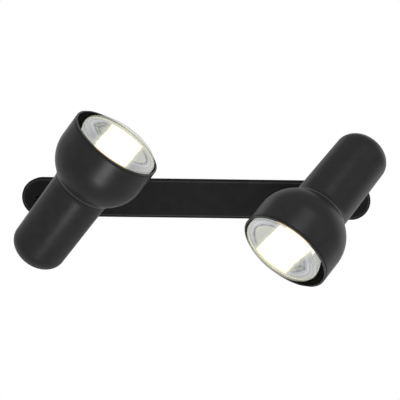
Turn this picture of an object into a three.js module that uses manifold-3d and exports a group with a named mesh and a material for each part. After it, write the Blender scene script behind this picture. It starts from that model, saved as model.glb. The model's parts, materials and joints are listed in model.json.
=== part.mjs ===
// Pivoting spotlight wall light: an obround wall bar that carries two spotlights on hollow swivels.
// Millimetres. The light is built in a wall frame, x along the bar, y up and z out of the wall, and
// one parent group then stands it against a wall that lies in the plane y = 0.

import * as THREE from 'three';
import { mergeVertices } from 'three/addons/utils/BufferGeometryUtils.js';
import Module from 'manifold-3d';

const wasm = await Module();
wasm.setup();

// Clearances shared by all pieces
const seatGap = 0.3;
const overrun = 1;
const mergeTolerance = 0.001;

// Facets round each kind of piece
const housingSegments = 32;
const lampSegments = 20;
const castingSegments = 14;
const fastenerSegments = 8;
const leadSegments = 4;

// Steps along each arc of the two turned outlines
const housingDetail = 5;
const lampDomeSteps = 5;
const lampBowlSteps = 4;

// Wall bar
const barLength = 362.9;
const barWidth = 40;
const barDepth = 22;
const barWall = 1.2;
const barEdgeRadius = 3;
const barScrewInset = 16;
const barArcSegments = 7;
const barEdgeSegments = 3;

// Mounting strap inside the bar
const strapWidth = 30;
const strapThickness = 1.6;
const strapEndGap = 9.5;
const strapBend = 1.2;
const tabLength = 12;
const slotLength = 20;
const slotWidth = 5.2;
const slotOffset = 76;
const cableHoleRadius = 7;
const cableHoleOffset = 42;

// Screws
const barScrewRadius = 1.9;
const barScrewHeadRadius = 4;
const barScrewHeadHeight = 2.2;
const barScrewLength = 8;
const smallScrewRadius = 1.4;
const smallScrewHeadRadius = 2.6;
const smallScrewHeadHeight = 1.6;
const smallScrewLength = 5;
const earthScrewLength = 1.6;

// Terminal block and earth terminal on the strap
const blockLength = 24;
const blockWidth = 18;
const blockHeight = 12;
const blockShoulder = 3;
const blockShoulderHeight = 7;
const blockWayRadius = 1.7;
const clampScrewRadius = 1.6;
const clampScrewLength = 4;
const clampSink = 1.2;
const earthOffset = 40;

// Pivots: one swivel near each end of the bar
const pivotInset = 58.15;
const knuckleHeight = 42;
const headOffset = 46;
const nippleRadius = 5;
const nippleHoleGap = 0.35;
const leadBoreRadius = 2.75;
const nippleLength = 9;
const flangeRadius = 12;
const flangeThickness = 3;
const flangeChamfer = 0.8;
const columnRadius = 8;
const barrelRadius = 9;
const barrelHalfWidth = 8;
const barrelChamfer = 1;
const barrelCavityRadius = 7.2;
const barrelCavityDepth = 5;
const barrelBossRadius = 3.6;
const sideBoreRadius = 1.9;
const sideBoreShift = 2.95;
const ringThickness = 0.5;
const ringOuterRadius = 8.7;
const ringInnerRadius = 7.5;
const knuckleScrewRadius = 2;
const knuckleScrewHeadRadius = 3.8;
const knuckleScrewHeadHeight = 2.4;
const knuckleNutFlats = 7;
const knuckleNutHeight = 3.2;
const knuckleScrewEnd = 1.2;

// Rotation stop and clamping stack inside the bar
const stopTabWidth = 3;
const stopPipGap = 0.5;
const stopPipCircle = 9.1;
const stopPipRadius = 1.5;
const stopPipDrop = 2;
const washerThickness = 1;
const springWasherRadius = 7;
const springWasherThickness = 0.8;
const swivelNutFlats = 14;
const swivelNutHeight = 3.5;

// Head housing, measured along its axis from the plane of the rim
const shadeRadius = 47;
const housingWall = 1.2;
const rimBead = 1.9;
const shoulderStart = 25.8;
const shoulderRadius = 41;
const neckRadius = 29.3;
const neckRise = 4.5;
const tailRadius = 28.3;
const tailDome = 20.9;
const housingLength = 158.8;
const pivotFromRim = 93.66;

// Arm nut and bracket inside the housing
const armNippleRadius = 4.75;
const armNutFlats = 13;
const armNutHeight = 2.6;
const armNippleEnd = 0.4;
const bracketWidth = 12;
const bracketThickness = 1;
const bracketBend = 0.8;
const bracketFront = 10;
const bracketSideGap = 0.8;
const bracketOverlap = 8;

// Reflector lamp
const lampMouthGap = 5.3;
const lampWidestDepth = 1.5;
const lampDomeHeight = 14;
const lampDomePower = 2.1;
const lampLength = 113;
const lampSideways = 3;
const lampInward = 1;
const lampGlassWall = 0.8;
const lampNeckRadius = 14.5;
const lampNeckDepth = 60;
const lampBowlFront = 14.5;
const lampBowlBack = 22;
const lampBowlRadius = 16;
const lampNeckEnd = 6;
const mirrorWall = 0.4;
const capRadius = 13.2;
const capWall = 0.5;
const capLength = 21;
const capTaper = 3.4;
const capMouthRadius = 9;
const insulatorLength = 4.2;
const insulatorRadius = 5;
const lampTipRadius = 4.4;
const lampTipHeight = 1.5;
const stemRadius = 2.6;
const stemFlareLength = 8;
const stemPressDepth = 46;
const filamentDepth = 36;
const filamentSpan = 9;
const filamentRadius = 0.7;
const stemWireRadius = 0.5;

// Lampholder
const capThreadGap = 0.6;
const shellWall = 0.5;
const holderWall = 3;
const holderMouth = 2.5;
const holderFloorThickness = 6;
const holderTerminalRadius = 12;
const holderTerminalLength = 6;
const contactRise = 2.6;
const contactThickness = 0.4;
const contactWidth = 5;
const contactLength = 9;

// Inner leads
const feedLeadRadius = 1.9;
const feedLeadHeight = 5.2;
const feedLeadSide = 12.5;
const feedLeadSteps = 18;
const headLeadRadius = 1.2;
const headLeadSteps = 10;

// Directions that the heads point in: turn about the swivel and tilt away from the wall, in degrees
const pose = {
  left: { side: -1, turn: 53.31, tilt: 18.76 },
  right: { side: 1, turn: 228.37, tilt: 28.74 },
};

const finish = {
  barPaint: { color: 0x1f1f1f, roughness: 0.55, metalness: 0.1 },
  headPaint: { color: 0x2c2c2c, roughness: 0.5, metalness: 0.1 },
  zinc: { color: 0xa9adb0, roughness: 0.4, metalness: 0.9 },
  nickel: { color: 0xb9b7ae, roughness: 0.3, metalness: 1 },
  brass: { color: 0xb58e45, roughness: 0.35, metalness: 1 },
  moulding: { color: 0xe6e3da, roughness: 0.5, metalness: 0 },
  glass: { color: 0xe4ebe8, roughness: 0.05, metalness: 0 },
  mirror: { color: 0xd9dce0, roughness: 0.08, metalness: 1 },
  vitrite: { color: 0x14141c, roughness: 0.25, metalness: 0 },
  sleeve: { color: 0xd9d4c6, roughness: 0.6, metalness: 0 },
  tungsten: { color: 0xfff2cc, roughness: 0.4, metalness: 0.4 },
};

// A closed geometry without seams or collapsed faces, which the booleans and the mesh share
function closed(geometry) {
  const bare = geometry.clone();
  bare.deleteAttribute('normal');
  bare.deleteAttribute('uv');
  const merged = mergeVertices(bare, mergeTolerance);
  const corners = merged.index.array;
  const kept = [];
  for (let i = 0; i < corners.length; i += 3) {
    const [a, b, c] = [corners[i], corners[i + 1], corners[i + 2]];
    if (a !== b && b !== c && c !== a) kept.push(a, b, c);
  }
  merged.setIndex(kept);
  return merged;
}

function solid(geometry) {
  const merged = closed(geometry);
  return new wasm.Manifold(new wasm.Mesh({
    numProp: 3,
    vertProperties: merged.attributes.position.array,
    triVerts: new Uint32Array(merged.index.array),
  }));
}

function geometryOf(body) {
  const mesh = body.getMesh();
  const geometry = new THREE.BufferGeometry();
  geometry.setAttribute('position', new THREE.BufferAttribute(mesh.vertProperties, 3));
  geometry.setIndex(new THREE.BufferAttribute(mesh.triVerts, 1));
  geometry.computeVertexNormals();
  return geometry;
}

// The geometries of `add` joined, less those of `cut`, within those of `keep`
function shaped({ add, cut = [], keep = [] }) {
  let body = solid(add[0]);
  for (const geometry of add.slice(1)) body = body.add(solid(geometry));
  for (const geometry of keep) body = body.intersect(solid(geometry));
  for (const geometry of cut) body = body.subtract(solid(geometry));
  return geometryOf(body);
}

function mesh(name, geometry, look) {
  const made = new THREE.Mesh(geometry, new THREE.MeshStandardMaterial(look));
  made.name = name;
  return made;
}

const point = (x, y) => new THREE.Vector2(x, y);

// A revolved solid about +z from a profile of [radius, height] points, given in either direction
function turned(profile, segments) {
  const points = profile.map(([radius, height]) => point(radius, height));
  const ring = points[0].x > 0 && points[points.length - 1].x > 0;
  if (THREE.ShapeUtils.area(points) < 0) points.reverse();
  if (ring) points.push(points[0].clone());
  return new THREE.LatheGeometry(points, segments).rotateX(Math.PI / 2);
}

// The same about +x, for pieces on the axis of a head
function turnedAlongX(profile, segments) {
  return turned(profile, segments).rotateY(Math.PI / 2);
}

function rod(radius, from, to, segments) {
  return turned([[0, from], [radius, from], [radius, to], [0, to]], segments);
}

function tube(outer, inner, from, to, segments) {
  return turned([[inner, from], [outer, from], [outer, to], [inner, to]], segments);
}

function box(x0, x1, y0, y1, z0, z1) {
  return new THREE.BoxGeometry(x1 - x0, y1 - y0, z1 - z0)
    .translate((x0 + x1) / 2, (y0 + y1) / 2, (z0 + z1) / 2);
}

function hexNut(flats, bore, from, to) {
  const outline = new THREE.Shape();
  const corner = flats / Math.sqrt(3);
  for (let i = 0; i < 6; i += 1) {
    const angle = (i * Math.PI) / 3;
    const [x, y] = [corner * Math.cos(angle), corner * Math.sin(angle)];
    if (i === 0) outline.moveTo(x, y);
    else outline.lineTo(x, y);
  }
  outline.holes.push(new THREE.Path().absarc(0, 0, bore, 0, 2 * Math.PI));
  const options = { depth: to - from, bevelEnabled: false, curveSegments: fastenerSegments };
  return new THREE.ExtrudeGeometry(outline, options).translate(0, 0, from);
}

// A screw along +z with a domed head that starts at z = 0 and a shank below it
function screw(radius, length, headRadius, headHeight) {
  const edge = headHeight / 3;
  const profile = [[0, -length], [radius, -length], [radius, 0], [headRadius, 0], [headRadius, edge]];
  const steps = 2;
  for (let i = 1; i <= steps; i += 1) {
    const angle = (i / steps) * (Math.PI / 2);
    profile.push([headRadius * Math.cos(angle), edge + (headHeight - edge) * Math.sin(angle)]);
  }
  profile[profile.length - 1][0] = 0;
  return turned(profile, fastenerSegments);
}

function obround(length, width) {
  const half = (length - width) / 2;
  const shape = new THREE.Shape();
  shape.moveTo(-half, -width / 2);
  shape.lineTo(half, -width / 2);
  shape.absarc(half, 0, width / 2, -Math.PI / 2, Math.PI / 2);
  shape.lineTo(-half, width / 2);
  shape.absarc(-half, 0, width / 2, Math.PI / 2, (3 * Math.PI) / 2);
  return shape;
}

// A block of this plan from z = 0 to z = height whose front edge is rounded
function roundedBlock(plan, length, width, height, radius) {
  const options = {
    depth: height,
    bevelThickness: radius,
    bevelSize: radius,
    bevelOffset: -radius,
    bevelSegments: barEdgeSegments,
    curveSegments: barArcSegments,
  };
  const block = new THREE.ExtrudeGeometry(plan, options).translate(0, 0, -radius);
  const [x, y] = [length / 2 + overrun, width / 2 + overrun];
  return shaped({ add: [block], keep: [box(-x, x, -y, y, 0, height + overrun)] });
}

// The outline of a strip bent along a centreline of [x, y] corners, with round bends
function bentStrip(corners, thickness, innerRadius, width) {
  const bendSteps = 3;
  const sides = [[], []];
  const push = (centre, normal) => {
    sides[0].push(centre.clone().addScaledVector(normal, thickness / 2));
    sides[1].push(centre.clone().addScaledVector(normal, -thickness / 2));
  };
  const path = corners.map(([x, y]) => point(x, y));
  for (let i = 0; i < path.length; i += 1) {
    const before = i > 0 ? path[i].clone().sub(path[i - 1]).normalize() : null;
    const after = i < path.length - 1 ? path[i + 1].clone().sub(path[i]).normalize() : null;
    const way = before ?? after;
    const normal = point(-way.y, way.x);
    if (!before || !after) {
      push(path[i], normal);
      continue;
    }
    const angle = Math.atan2(before.cross(after), before.dot(after));
    const radius = innerRadius + thickness / 2;
    const start = path[i].clone().addScaledVector(before, -radius * Math.tan(Math.abs(angle) / 2));
    const centre = start.clone().addScaledVector(normal, radius * Math.sign(angle));
    for (let k = 0; k <= bendSteps; k += 1) {
      const turn = (angle * k) / bendSteps;
      const spoke = normal.clone().rotateAround(point(0, 0), turn);
      push(centre.clone().addScaledVector(spoke, -radius * Math.sign(angle)), spoke);
    }
  }
  const shape = new THREE.Shape([...sides[0], ...sides[1].reverse()]);
  return new THREE.ExtrudeGeometry(shape, { depth: width, bevelEnabled: false })
    .translate(0, 0, -width / 2).rotateX(Math.PI / 2);
}

function lead(route, radius, steps) {
  const points = route.map((at) => new THREE.Vector3(...at));
  const path = new THREE.CatmullRomCurve3(points, false, 'centripetal');
  const section = new THREE.Shape().absarc(0, 0, radius, 0, 2 * Math.PI);
  return new THREE.ExtrudeGeometry(section, { steps, extrudePath: path, curveSegments: leadSegments });
}

// A profile of [radius, height] points with each point moved to the left of its way by `distance`
function offsetProfile(profile, distance) {
  const last = profile.length - 1;
  return profile.map(([radius, height], i) => {
    const before = profile[Math.max(i - 1, 0)];
    const after = profile[Math.min(i + 1, last)];
    const way = point(after[0] - before[0], after[1] - before[1]).normalize();
    const onAxis = radius < mergeTolerance;
    const moved = onAxis ? point(0, Math.sign(way.x) || 1) : point(-way.y, way.x);
    return [onAxis ? 0 : Math.max(radius + moved.x * distance, 0), height + moved.y * distance];
  });
}

// Wall bar, strap and what is fixed to them

const cavityTop = barDepth - barWall;
const strapLength = barLength - 2 * strapEndGap;
const screwPlace = barLength / 2 - barScrewInset;
const pivotOffset = barLength / 2 - pivotInset;
const tabTop = cavityTop - seatGap;
const tabRiser = screwPlace - tabLength / 2;
// The strap's own screws sit off the bar's centre line, where the strap stays whole
const strapScrewLine = strapWidth / 2 - blockShoulder - smallScrewHeadRadius;

function wallBar() {
  const outer = roundedBlock(obround(barLength, barWidth), barLength, barWidth, barDepth, barEdgeRadius);
  const [innerLength, innerWidth] = [barLength - 2 * barWall, barWidth - 2 * barWall];
  const cavity = roundedBlock(obround(innerLength, innerWidth), innerLength, innerWidth,
    cavityTop + overrun, barEdgeRadius - barWall).translate(0, 0, -overrun);
  const pips = [];
  const holes = [];
  for (const side of [-1, 1]) {
    const pip = rod(stopPipRadius, cavityTop - stopPipDrop, cavityTop + barWall / 2, fastenerSegments);
    pips.push(pip.translate(side * pivotOffset, side * stopPipCircle, 0));
    const pivotHole = rod(nippleRadius + nippleHoleGap, 0, barDepth + overrun, castingSegments);
    holes.push(pivotHole.translate(side * pivotOffset, 0, 0));
    const screwHole = rod(barScrewRadius + seatGap, 0, barDepth + overrun, fastenerSegments);
    holes.push(screwHole.translate(side * screwPlace, 0, 0));
  }
  const shell = shaped({ add: [outer], cut: [cavity] });
  return mesh('wall_bar', shaped({ add: [shell, ...pips], cut: holes }), finish.barPaint);
}

function mountingStrap() {
  const half = strapThickness / 2;
  const profile = [
    [-strapLength / 2, tabTop - half],
    [-tabRiser, tabTop - half],
    [-tabRiser, half],
    [tabRiser, half],
    [tabRiser, tabTop - half],
    [strapLength / 2, tabTop - half],
  ];
  const strip = bentStrip(profile, strapThickness, strapBend, strapWidth);
  const plan = new THREE.ExtrudeGeometry(obround(strapLength, strapWidth), {
    depth: barDepth + overrun,
    bevelEnabled: false,
    curveSegments: barArcSegments,
  }).translate(0, 0, -overrun);
  const through = { depth: barDepth, bevelEnabled: false, curveSegments: leadSegments };
  const cuts = [-1, 1].flatMap((side) => [
    new THREE.ExtrudeGeometry(obround(slotLength, slotWidth), through)
      .translate(side * slotOffset, 0, -overrun),
    rod(barScrewRadius + seatGap, tabTop - strapThickness - overrun, tabTop + overrun, fastenerSegments)
      .translate(side * screwPlace, 0, 0),
  ]);
  cuts.push(rod(cableHoleRadius, -overrun, strapThickness + overrun, castingSegments)
    .translate(cableHoleOffset, 0, 0));
  const tapped = smallScrewRadius + seatGap;
  for (const [x, y] of [[0, strapScrewLine], [-earthOffset, -strapScrewLine]]) {
    cuts.push(rod(tapped, -overrun, strapThickness + overrun, fastenerSegments).translate(x, y, 0));
  }
  return mesh('mounting_strap', shaped({ add: [strip], keep: [plan], cut: cuts }), finish.zinc);
}

function barScrew(name, side) {
  const geometry = screw(barScrewRadius, barScrewLength, barScrewHeadRadius, barScrewHeadHeight);
  const made = mesh(name, geometry, finish.barPaint);
  made.position.set(side * screwPlace, 0, barDepth + seatGap);
  return made;
}

const blockFloor = strapThickness + seatGap;
const wayPitch = blockWidth / 4;

function terminalBlock() {
  const [x, y] = [blockLength / 2, blockWidth / 2];
  const centre = -y / 2;
  const low = box(-x, x, centre - y, centre + y, 0, blockShoulderHeight);
  const tower = box(-x + blockShoulder, x - blockShoulder, centre - y, centre + y - blockShoulder,
    0, blockHeight);
  const cuts = [];
  for (const row of [-1, 1]) {
    const way = rod(blockWayRadius, -x - overrun, x + overrun, fastenerSegments).rotateY(Math.PI / 2);
    cuts.push(way.translate(0, centre + row * wayPitch, blockShoulderHeight / 2));
    for (const end of [-1, 1]) {
      const pit = rod(clampScrewRadius + seatGap, blockShoulderHeight / 2, blockHeight + overrun,
        fastenerSegments);
      cuts.push(pit.translate(end * blockLength / 4, centre + row * wayPitch, 0));
    }
  }
  const fixing = rod(smallScrewRadius + seatGap, -overrun, blockHeight + overrun, fastenerSegments);
  cuts.push(fixing.translate(0, strapScrewLine, 0));
  const pocket = rod(smallScrewHeadRadius + seatGap, blockShoulderHeight / 2, blockHeight + overrun,
    fastenerSegments);
  cuts.push(pocket.translate(0, strapScrewLine, 0));
  const made = mesh('terminal_block', shaped({ add: [low, tower], cut: cuts }), finish.moulding);
  made.position.z = blockFloor;
  return made;
}

function clampScrews() {
  const screws = [];
  for (const [row, rowName] of [[-1, 'lower'], [1, 'upper']]) {
    for (const [end, endName] of [[-1, 'left'], [1, 'right']]) {
      const top = blockHeight - clampSink;
      const geometry = rod(clampScrewRadius, top - clampScrewLength, top, fastenerSegments);
      const made = mesh(`clamp_screw_${rowName}_${endName}`, geometry, finish.nickel);
      made.position.set(end * blockLength / 4, row * wayPitch - blockWidth / 4, blockFloor);
      screws.push(made);
    }
  }
  return screws;
}

function smallScrew(length) {
  return screw(smallScrewRadius, length, smallScrewHeadRadius, smallScrewHeadHeight);
}

function blockScrew(name) {
  const made = mesh(name, smallScrew(smallScrewLength), finish.zinc);
  made.position.set(0, strapScrewLine, blockFloor + blockShoulderHeight / 2 + seatGap);
  return made;
}

function earthScrew(name) {
  const made = mesh(name, smallScrew(earthScrewLength), finish.brass);
  made.position.set(-earthOffset, -strapScrewLine, strapThickness + seatGap);
  return made;
}

function feedLead(name, side) {
  const start = blockLength / 2 + seatGap;
  const way = [-blockWidth / 4 + wayPitch, blockFloor + blockShoulderHeight / 2];
  const nippleMouth = cavityTop - nippleLength;
  const route = [
    [start, way[0], way[1]],
    [start + 2 * feedLeadRadius, way[0], way[1]],
    [start + feedLeadSide, feedLeadSide / 2, feedLeadHeight],
    [slotOffset - slotLength, feedLeadSide, feedLeadHeight],
    [pivotOffset - 2 * feedLeadSide, feedLeadSide, feedLeadHeight],
    [pivotOffset - feedLeadSide, feedLeadSide / 2, feedLeadHeight],
    [pivotOffset - 2 * feedLeadRadius, 0, feedLeadHeight],
    [pivotOffset, 0, feedLeadHeight + 2 * feedLeadRadius],
    [pivotOffset, 0, nippleMouth + feedLeadRadius],
  ];
  const ownSide = route.map(([x, y, z]) => [side * x, y, z]);
  return mesh(name, lead(ownSide, feedLeadRadius, feedLeadSteps), finish.sleeve);
}

// Knuckle: two hollow barrel halves face to face on the tilt axis, which is the y axis here

// One half of the barrel on the side of +y, about the y axis at the origin
function barrelHalf() {
  const face = seatGap + ringThickness / 2;
  const profile = [
    [knuckleScrewRadius + seatGap, face],
    [barrelBossRadius, face],
    [barrelBossRadius, face + barrelCavityDepth],
    [barrelCavityRadius, face + barrelCavityDepth],
    [barrelCavityRadius, face],
    [barrelRadius, face],
    [barrelRadius, barrelHalfWidth - barrelChamfer],
    [barrelRadius - barrelChamfer, barrelHalfWidth],
    [knuckleScrewRadius + seatGap, barrelHalfWidth],
  ];
  return turned(profile, castingSegments).rotateX(-Math.PI / 2);
}

// The column that carries a barrel half: full below the barrel, and beside it on the side of +y only
function columnParts(from) {
  const face = seatGap + ringThickness / 2;
  const wide = columnRadius + overrun;
  const step = -barrelRadius - seatGap;
  const shaft = rod(columnRadius, from, 0, castingSegments);
  const beside = box(-wide, wide, -wide, face, step, overrun);
  const inside = rod(barrelCavityRadius, -wide, wide, castingSegments).rotateX(-Math.PI / 2);
  const sideBore = rod(sideBoreRadius, step - columnRadius / 2, -barrelBossRadius - sideBoreRadius / 2,
    fastenerSegments).translate(0, sideBoreShift, 0);
  return { shaft, beside, inside, sideBore };
}

// A casting with its knuckle half at the origin and its column along -z; `foot` joins on below
function knuckleCasting(from, foot, cuts) {
  const { shaft, beside, inside, sideBore } = columnParts(from);
  const column = shaped({ add: [shaft], cut: [beside, inside] });
  return shaped({ add: [barrelHalf(), column, ...foot], cut: [sideBore, ...cuts] });
}

const flangeBack = barDepth + seatGap - knuckleHeight;
const nippleTip = cavityTop - nippleLength - knuckleHeight;

function swivel(name) {
  const front = flangeBack + flangeThickness;
  const foot = turned([
    [0, nippleTip],
    [nippleRadius, nippleTip],
    [nippleRadius, flangeBack],
    [flangeRadius, flangeBack],
    [flangeRadius, front - flangeChamfer],
    [flangeRadius - flangeChamfer, front],
    [0, front],
  ], castingSegments);
  const boreTop = -barrelRadius - seatGap - columnRadius / 4;
  const bore = rod(leadBoreRadius, nippleTip - overrun, boreTop, fastenerSegments);
  return mesh(name, knuckleCasting(front - overrun, [foot], [bore]), finish.headPaint);
}

// Stack on the swivel's nipple, from the inner face of the bar towards the wall
const stopTop = cavityTop - seatGap;
const springTop = stopTop - washerThickness - seatGap;
const nutTop = springTop - springWasherThickness - seatGap;

function stopWasher(name) {
  const from = stopTop - washerThickness;
  const disc = rod(stopPipCircle - stopPipRadius - stopPipGap, from, stopTop, castingSegments);
  const tab = box(0, stopPipCircle + stopPipRadius, -stopTabWidth / 2, stopTabWidth / 2, from, stopTop);
  const hole = rod(nippleRadius + seatGap, from - overrun, stopTop + overrun, castingSegments);
  return mesh(name, shaped({ add: [disc, tab], cut: [hole] }), finish.zinc);
}

function springWasher(name) {
  const from = springTop - springWasherThickness;
  return mesh(name, tube(springWasherRadius, nippleRadius + seatGap, from, springTop, castingSegments),
    finish.zinc);
}

function swivelNut(name) {
  const geometry = hexNut(swivelNutFlats, nippleRadius + seatGap, nutTop - swivelNutHeight, nutTop);
  return mesh(name, geometry, finish.zinc);
}

function frictionRing(name) {
  const half = ringThickness / 2;
  const geometry = tube(ringOuterRadius, ringInnerRadius, -half, half, castingSegments);
  return mesh(name, geometry.rotateX(-Math.PI / 2), finish.nickel);
}

// The knuckle screw lies along the tilt axis with its head on the arm's side
function knuckleScrew(name) {
  const nutFace = barrelHalfWidth + seatGap + knuckleNutHeight;
  const length = barrelHalfWidth + seatGap + nutFace + knuckleScrewEnd;
  const geometry = screw(knuckleScrewRadius, length, knuckleScrewHeadRadius, knuckleScrewHeadHeight)
    .translate(0, 0, barrelHalfWidth + seatGap).rotateX(Math.PI / 2);
  return mesh(name, geometry, finish.zinc);
}

function knuckleNut(name) {
  const from = barrelHalfWidth + seatGap;
  const geometry = hexNut(knuckleNutFlats, knuckleScrewRadius + seatGap, from, from + knuckleNutHeight)
    .rotateX(-Math.PI / 2);
  return mesh(name, geometry, finish.zinc);
}

// Head: x runs along the head's axis towards the opening, z away from the wall, and the tilt axis is
// the y axis through the origin. Depths are measured along the head's axis from the plane of the rim.

const alongHead = (depth) => pivotFromRim - depth;
const placed = (profile) => profile.map(([radius, depth]) => [radius, alongHead(depth)]);

// Outer outline of the housing from the rim to the tip of the domed end, as [radius, depth]
function housingOutline() {
  const detail = housingDetail;
  const centre = shadeRadius - shoulderRadius;
  const startAngle = Math.asin((neckRadius + neckRise - centre) / shoulderRadius);
  const outline = [[shadeRadius, shoulderStart]];
  for (let i = 1; i <= detail; i += 1) {
    const angle = Math.PI / 2 + (startAngle - Math.PI / 2) * (i / detail);
    const radius = centre + shoulderRadius * Math.sin(angle);
    outline.push([radius, shoulderStart + shoulderRadius * Math.cos(angle)]);
  }
  const from = point(...outline[outline.length - 1]);
  const slope = point(-Math.cos(startAngle), Math.sin(startAngle));
  const reach = neckRise / -slope.x;
  const corner = from.clone().addScaledVector(slope, reach);
  const blend = new THREE.QuadraticBezierCurve(from, corner, point(neckRadius, corner.y + reach));
  outline.push(...blend.getPoints(detail - 2).slice(1).map((at) => [at.x, at.y]));
  const tailStart = housingLength - tailDome;
  for (let i = 0; i <= detail; i += 1) {
    const angle = (i / detail) * (Math.PI / 2);
    outline.push([tailRadius * Math.cos(angle), tailStart + tailDome * Math.sin(angle)]);
  }
  outline[outline.length - 1][0] = 0;
  return outline;
}

// Outer radius of the housing at a depth behind its neck
function housingRadiusAt(depth) {
  const neckEnd = housingOutline()[2 * housingDetail - 2][1];
  const share = (depth - neckEnd) / (housingLength - tailDome - neckEnd);
  return neckRadius + (tailRadius - neckRadius) * share;
}

const saddleRadius = housingRadiusAt(pivotFromRim - columnRadius) + seatGap;
const shellRadius = capRadius + capThreadGap + shellWall;
const holderBore = shellRadius + seatGap;
const holderRadius = holderBore + holderWall;
const lampTip = lampLength + lampWidestDepth - lampDomeHeight;
const capFront = lampTip - lampTipHeight - insulatorLength - capLength;
const holderFloor = lampTip + contactRise;
const holderBack = holderFloor + holderFloorThickness + holderTerminalLength;
const bracketBack = holderBack + seatGap + bracketThickness / 2;
const bracketRadius = Math.sqrt((housingRadiusAt(bracketBack) - housingWall - bracketSideGap) ** 2
  - (bracketWidth / 2) ** 2) - bracketThickness / 2;
const armNutOuter = bracketRadius - bracketThickness / 2 - seatGap;
const armNippleTip = armNutOuter - armNutHeight - armNippleEnd;

function housing(name) {
  const outer = housingOutline();
  const inner = offsetProfile(outer, housingWall).filter(([radius], i) => radius === 0 || i % 2 === 0);
  const bead = rimBead / 2;
  const rim = [
    [shadeRadius - housingWall, rimBead],
    [shadeRadius - rimBead, bead],
    [shadeRadius - bead, 0],
    [shadeRadius, bead],
  ];
  const shell = turnedAlongX(placed([...inner.reverse(), ...rim, ...outer]), housingSegments)
    .translate(0, 0, headOffset);
  const hole = rod(armNippleRadius + nippleHoleGap, headOffset - shadeRadius, headOffset - barrelBossRadius,
    castingSegments);
  return mesh(name, shaped({ add: [shell], cut: [hole] }), finish.headPaint);
}

function headArm(name) {
  const saddle = rod(saddleRadius, -flangeRadius, flangeRadius, housingSegments).rotateY(Math.PI / 2)
    .translate(0, 0, -headOffset);
  const column = shaped({
    add: [knuckleCasting(-headOffset + saddleRadius / 2, [], [])],
    cut: [saddle],
  });
  const nipple = rod(armNippleRadius, armNippleTip - headOffset, -columnRadius - barrelRadius / 2,
    fastenerSegments);
  const bore = rod(leadBoreRadius, armNippleTip - headOffset - overrun,
    -barrelRadius - seatGap - columnRadius / 4, fastenerSegments);
  const casting = shaped({ add: [column, nipple], cut: [bore] });
  return mesh(name, casting.rotateX(Math.PI), finish.headPaint);
}

function armNut(name) {
  const from = headOffset - armNutOuter;
  const geometry = hexNut(armNutFlats, armNippleRadius + seatGap, from, from + armNutHeight);
  return mesh(name, geometry, finish.zinc);
}

// Screw and holder lie on the lamp's axis, a little off the housing's own
const lampY = -lampSideways;
const lampZ = headOffset - lampInward;

function holderBracket(name) {
  const profile = [
    [bracketFront, headOffset - bracketRadius],
    [alongHead(bracketBack), headOffset - bracketRadius],
    [alongHead(bracketBack), lampZ + bracketOverlap],
  ];
  const strip = bentStrip(profile, bracketThickness, bracketBend, bracketWidth);
  const nippleHole = rod(armNippleRadius + seatGap, 0, headOffset - armNippleTip, fastenerSegments);
  const screwHole = rod(smallScrewRadius + seatGap, -overrun, overrun, fastenerSegments)
    .rotateY(Math.PI / 2).translate(alongHead(bracketBack), lampY, lampZ);
  return mesh(name, shaped({ add: [strip], cut: [nippleHole, screwHole] }), finish.zinc);
}

function bracketScrew(name) {
  const made = mesh(name, smallScrew(smallScrewLength).rotateY(-Math.PI / 2), finish.zinc);
  made.position.set(alongHead(bracketBack + bracketThickness / 2 + seatGap), lampY, lampZ);
  return made;
}

function holderBody(name) {
  const front = capFront + holderMouth;
  const step = holderFloor + holderFloorThickness;
  const cup = turnedAlongX(placed([
    [0, holderFloor],
    [holderBore, holderFloor],
    [holderBore, front],
    [holderRadius, front],
    [holderRadius, step],
    [holderTerminalRadius, step],
    [holderTerminalRadius, holderBack],
    [0, holderBack],
  ]), castingSegments);
  const tapped = rod(smallScrewRadius + seatGap, -overrun, smallScrewLength, fastenerSegments)
    .rotateY(Math.PI / 2).translate(alongHead(holderBack), 0, 0);
  return mesh(name, shaped({ add: [cup], cut: [tapped] }), finish.moulding);
}

function holderShell(name) {
  const front = capFront + holderMouth + seatGap;
  const back = lampTip - lampTipHeight - insulatorLength;
  const profile = [
    [shellRadius - shellWall, front],
    [shellRadius, front],
    [shellRadius, back],
    [shellRadius - shellWall, back],
  ];
  return mesh(name, turnedAlongX(placed(profile), castingSegments), finish.brass);
}

function holderContact(name) {
  const floor = alongHead(holderFloor - seatGap - contactThickness / 2);
  const touch = alongHead(lampTip + seatGap + contactThickness / 2);
  const profile = [
    [floor, -contactLength / 2],
    [floor, contactLength / 3],
    [touch, contactLength / 4],
    [touch, -contactLength / 4],
  ];
  return mesh(name, bentStrip(profile, contactThickness, contactThickness / 2, contactWidth), finish.brass);
}

function headLead(name) {
  const outside = holderRadius + headLeadRadius + seatGap;
  const bend = alongHead(holderFloor + holderFloorThickness + headLeadRadius);
  const enter = alongHead(holderBack - holderTerminalLength / 2);
  const inBore = (leadBoreRadius - headLeadRadius) / 2;
  const route = [
    [inBore, 0, headOffset - armNippleTip - 6 * headLeadRadius],
    [inBore, 0, headOffset - armNippleTip - headLeadRadius],
    [inBore - 2 * headLeadRadius, 0, lampZ - outside],
    [-5 * headLeadRadius, 0, lampZ - outside],
    [bend, 0, lampZ - outside],
    [enter, 0, lampZ - holderTerminalRadius - headLeadRadius - seatGap],
  ];
  return mesh(name, lead(route, headLeadRadius, headLeadSteps), finish.sleeve);
}

const lampRadius = shadeRadius - housingWall - lampMouthGap;

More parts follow.
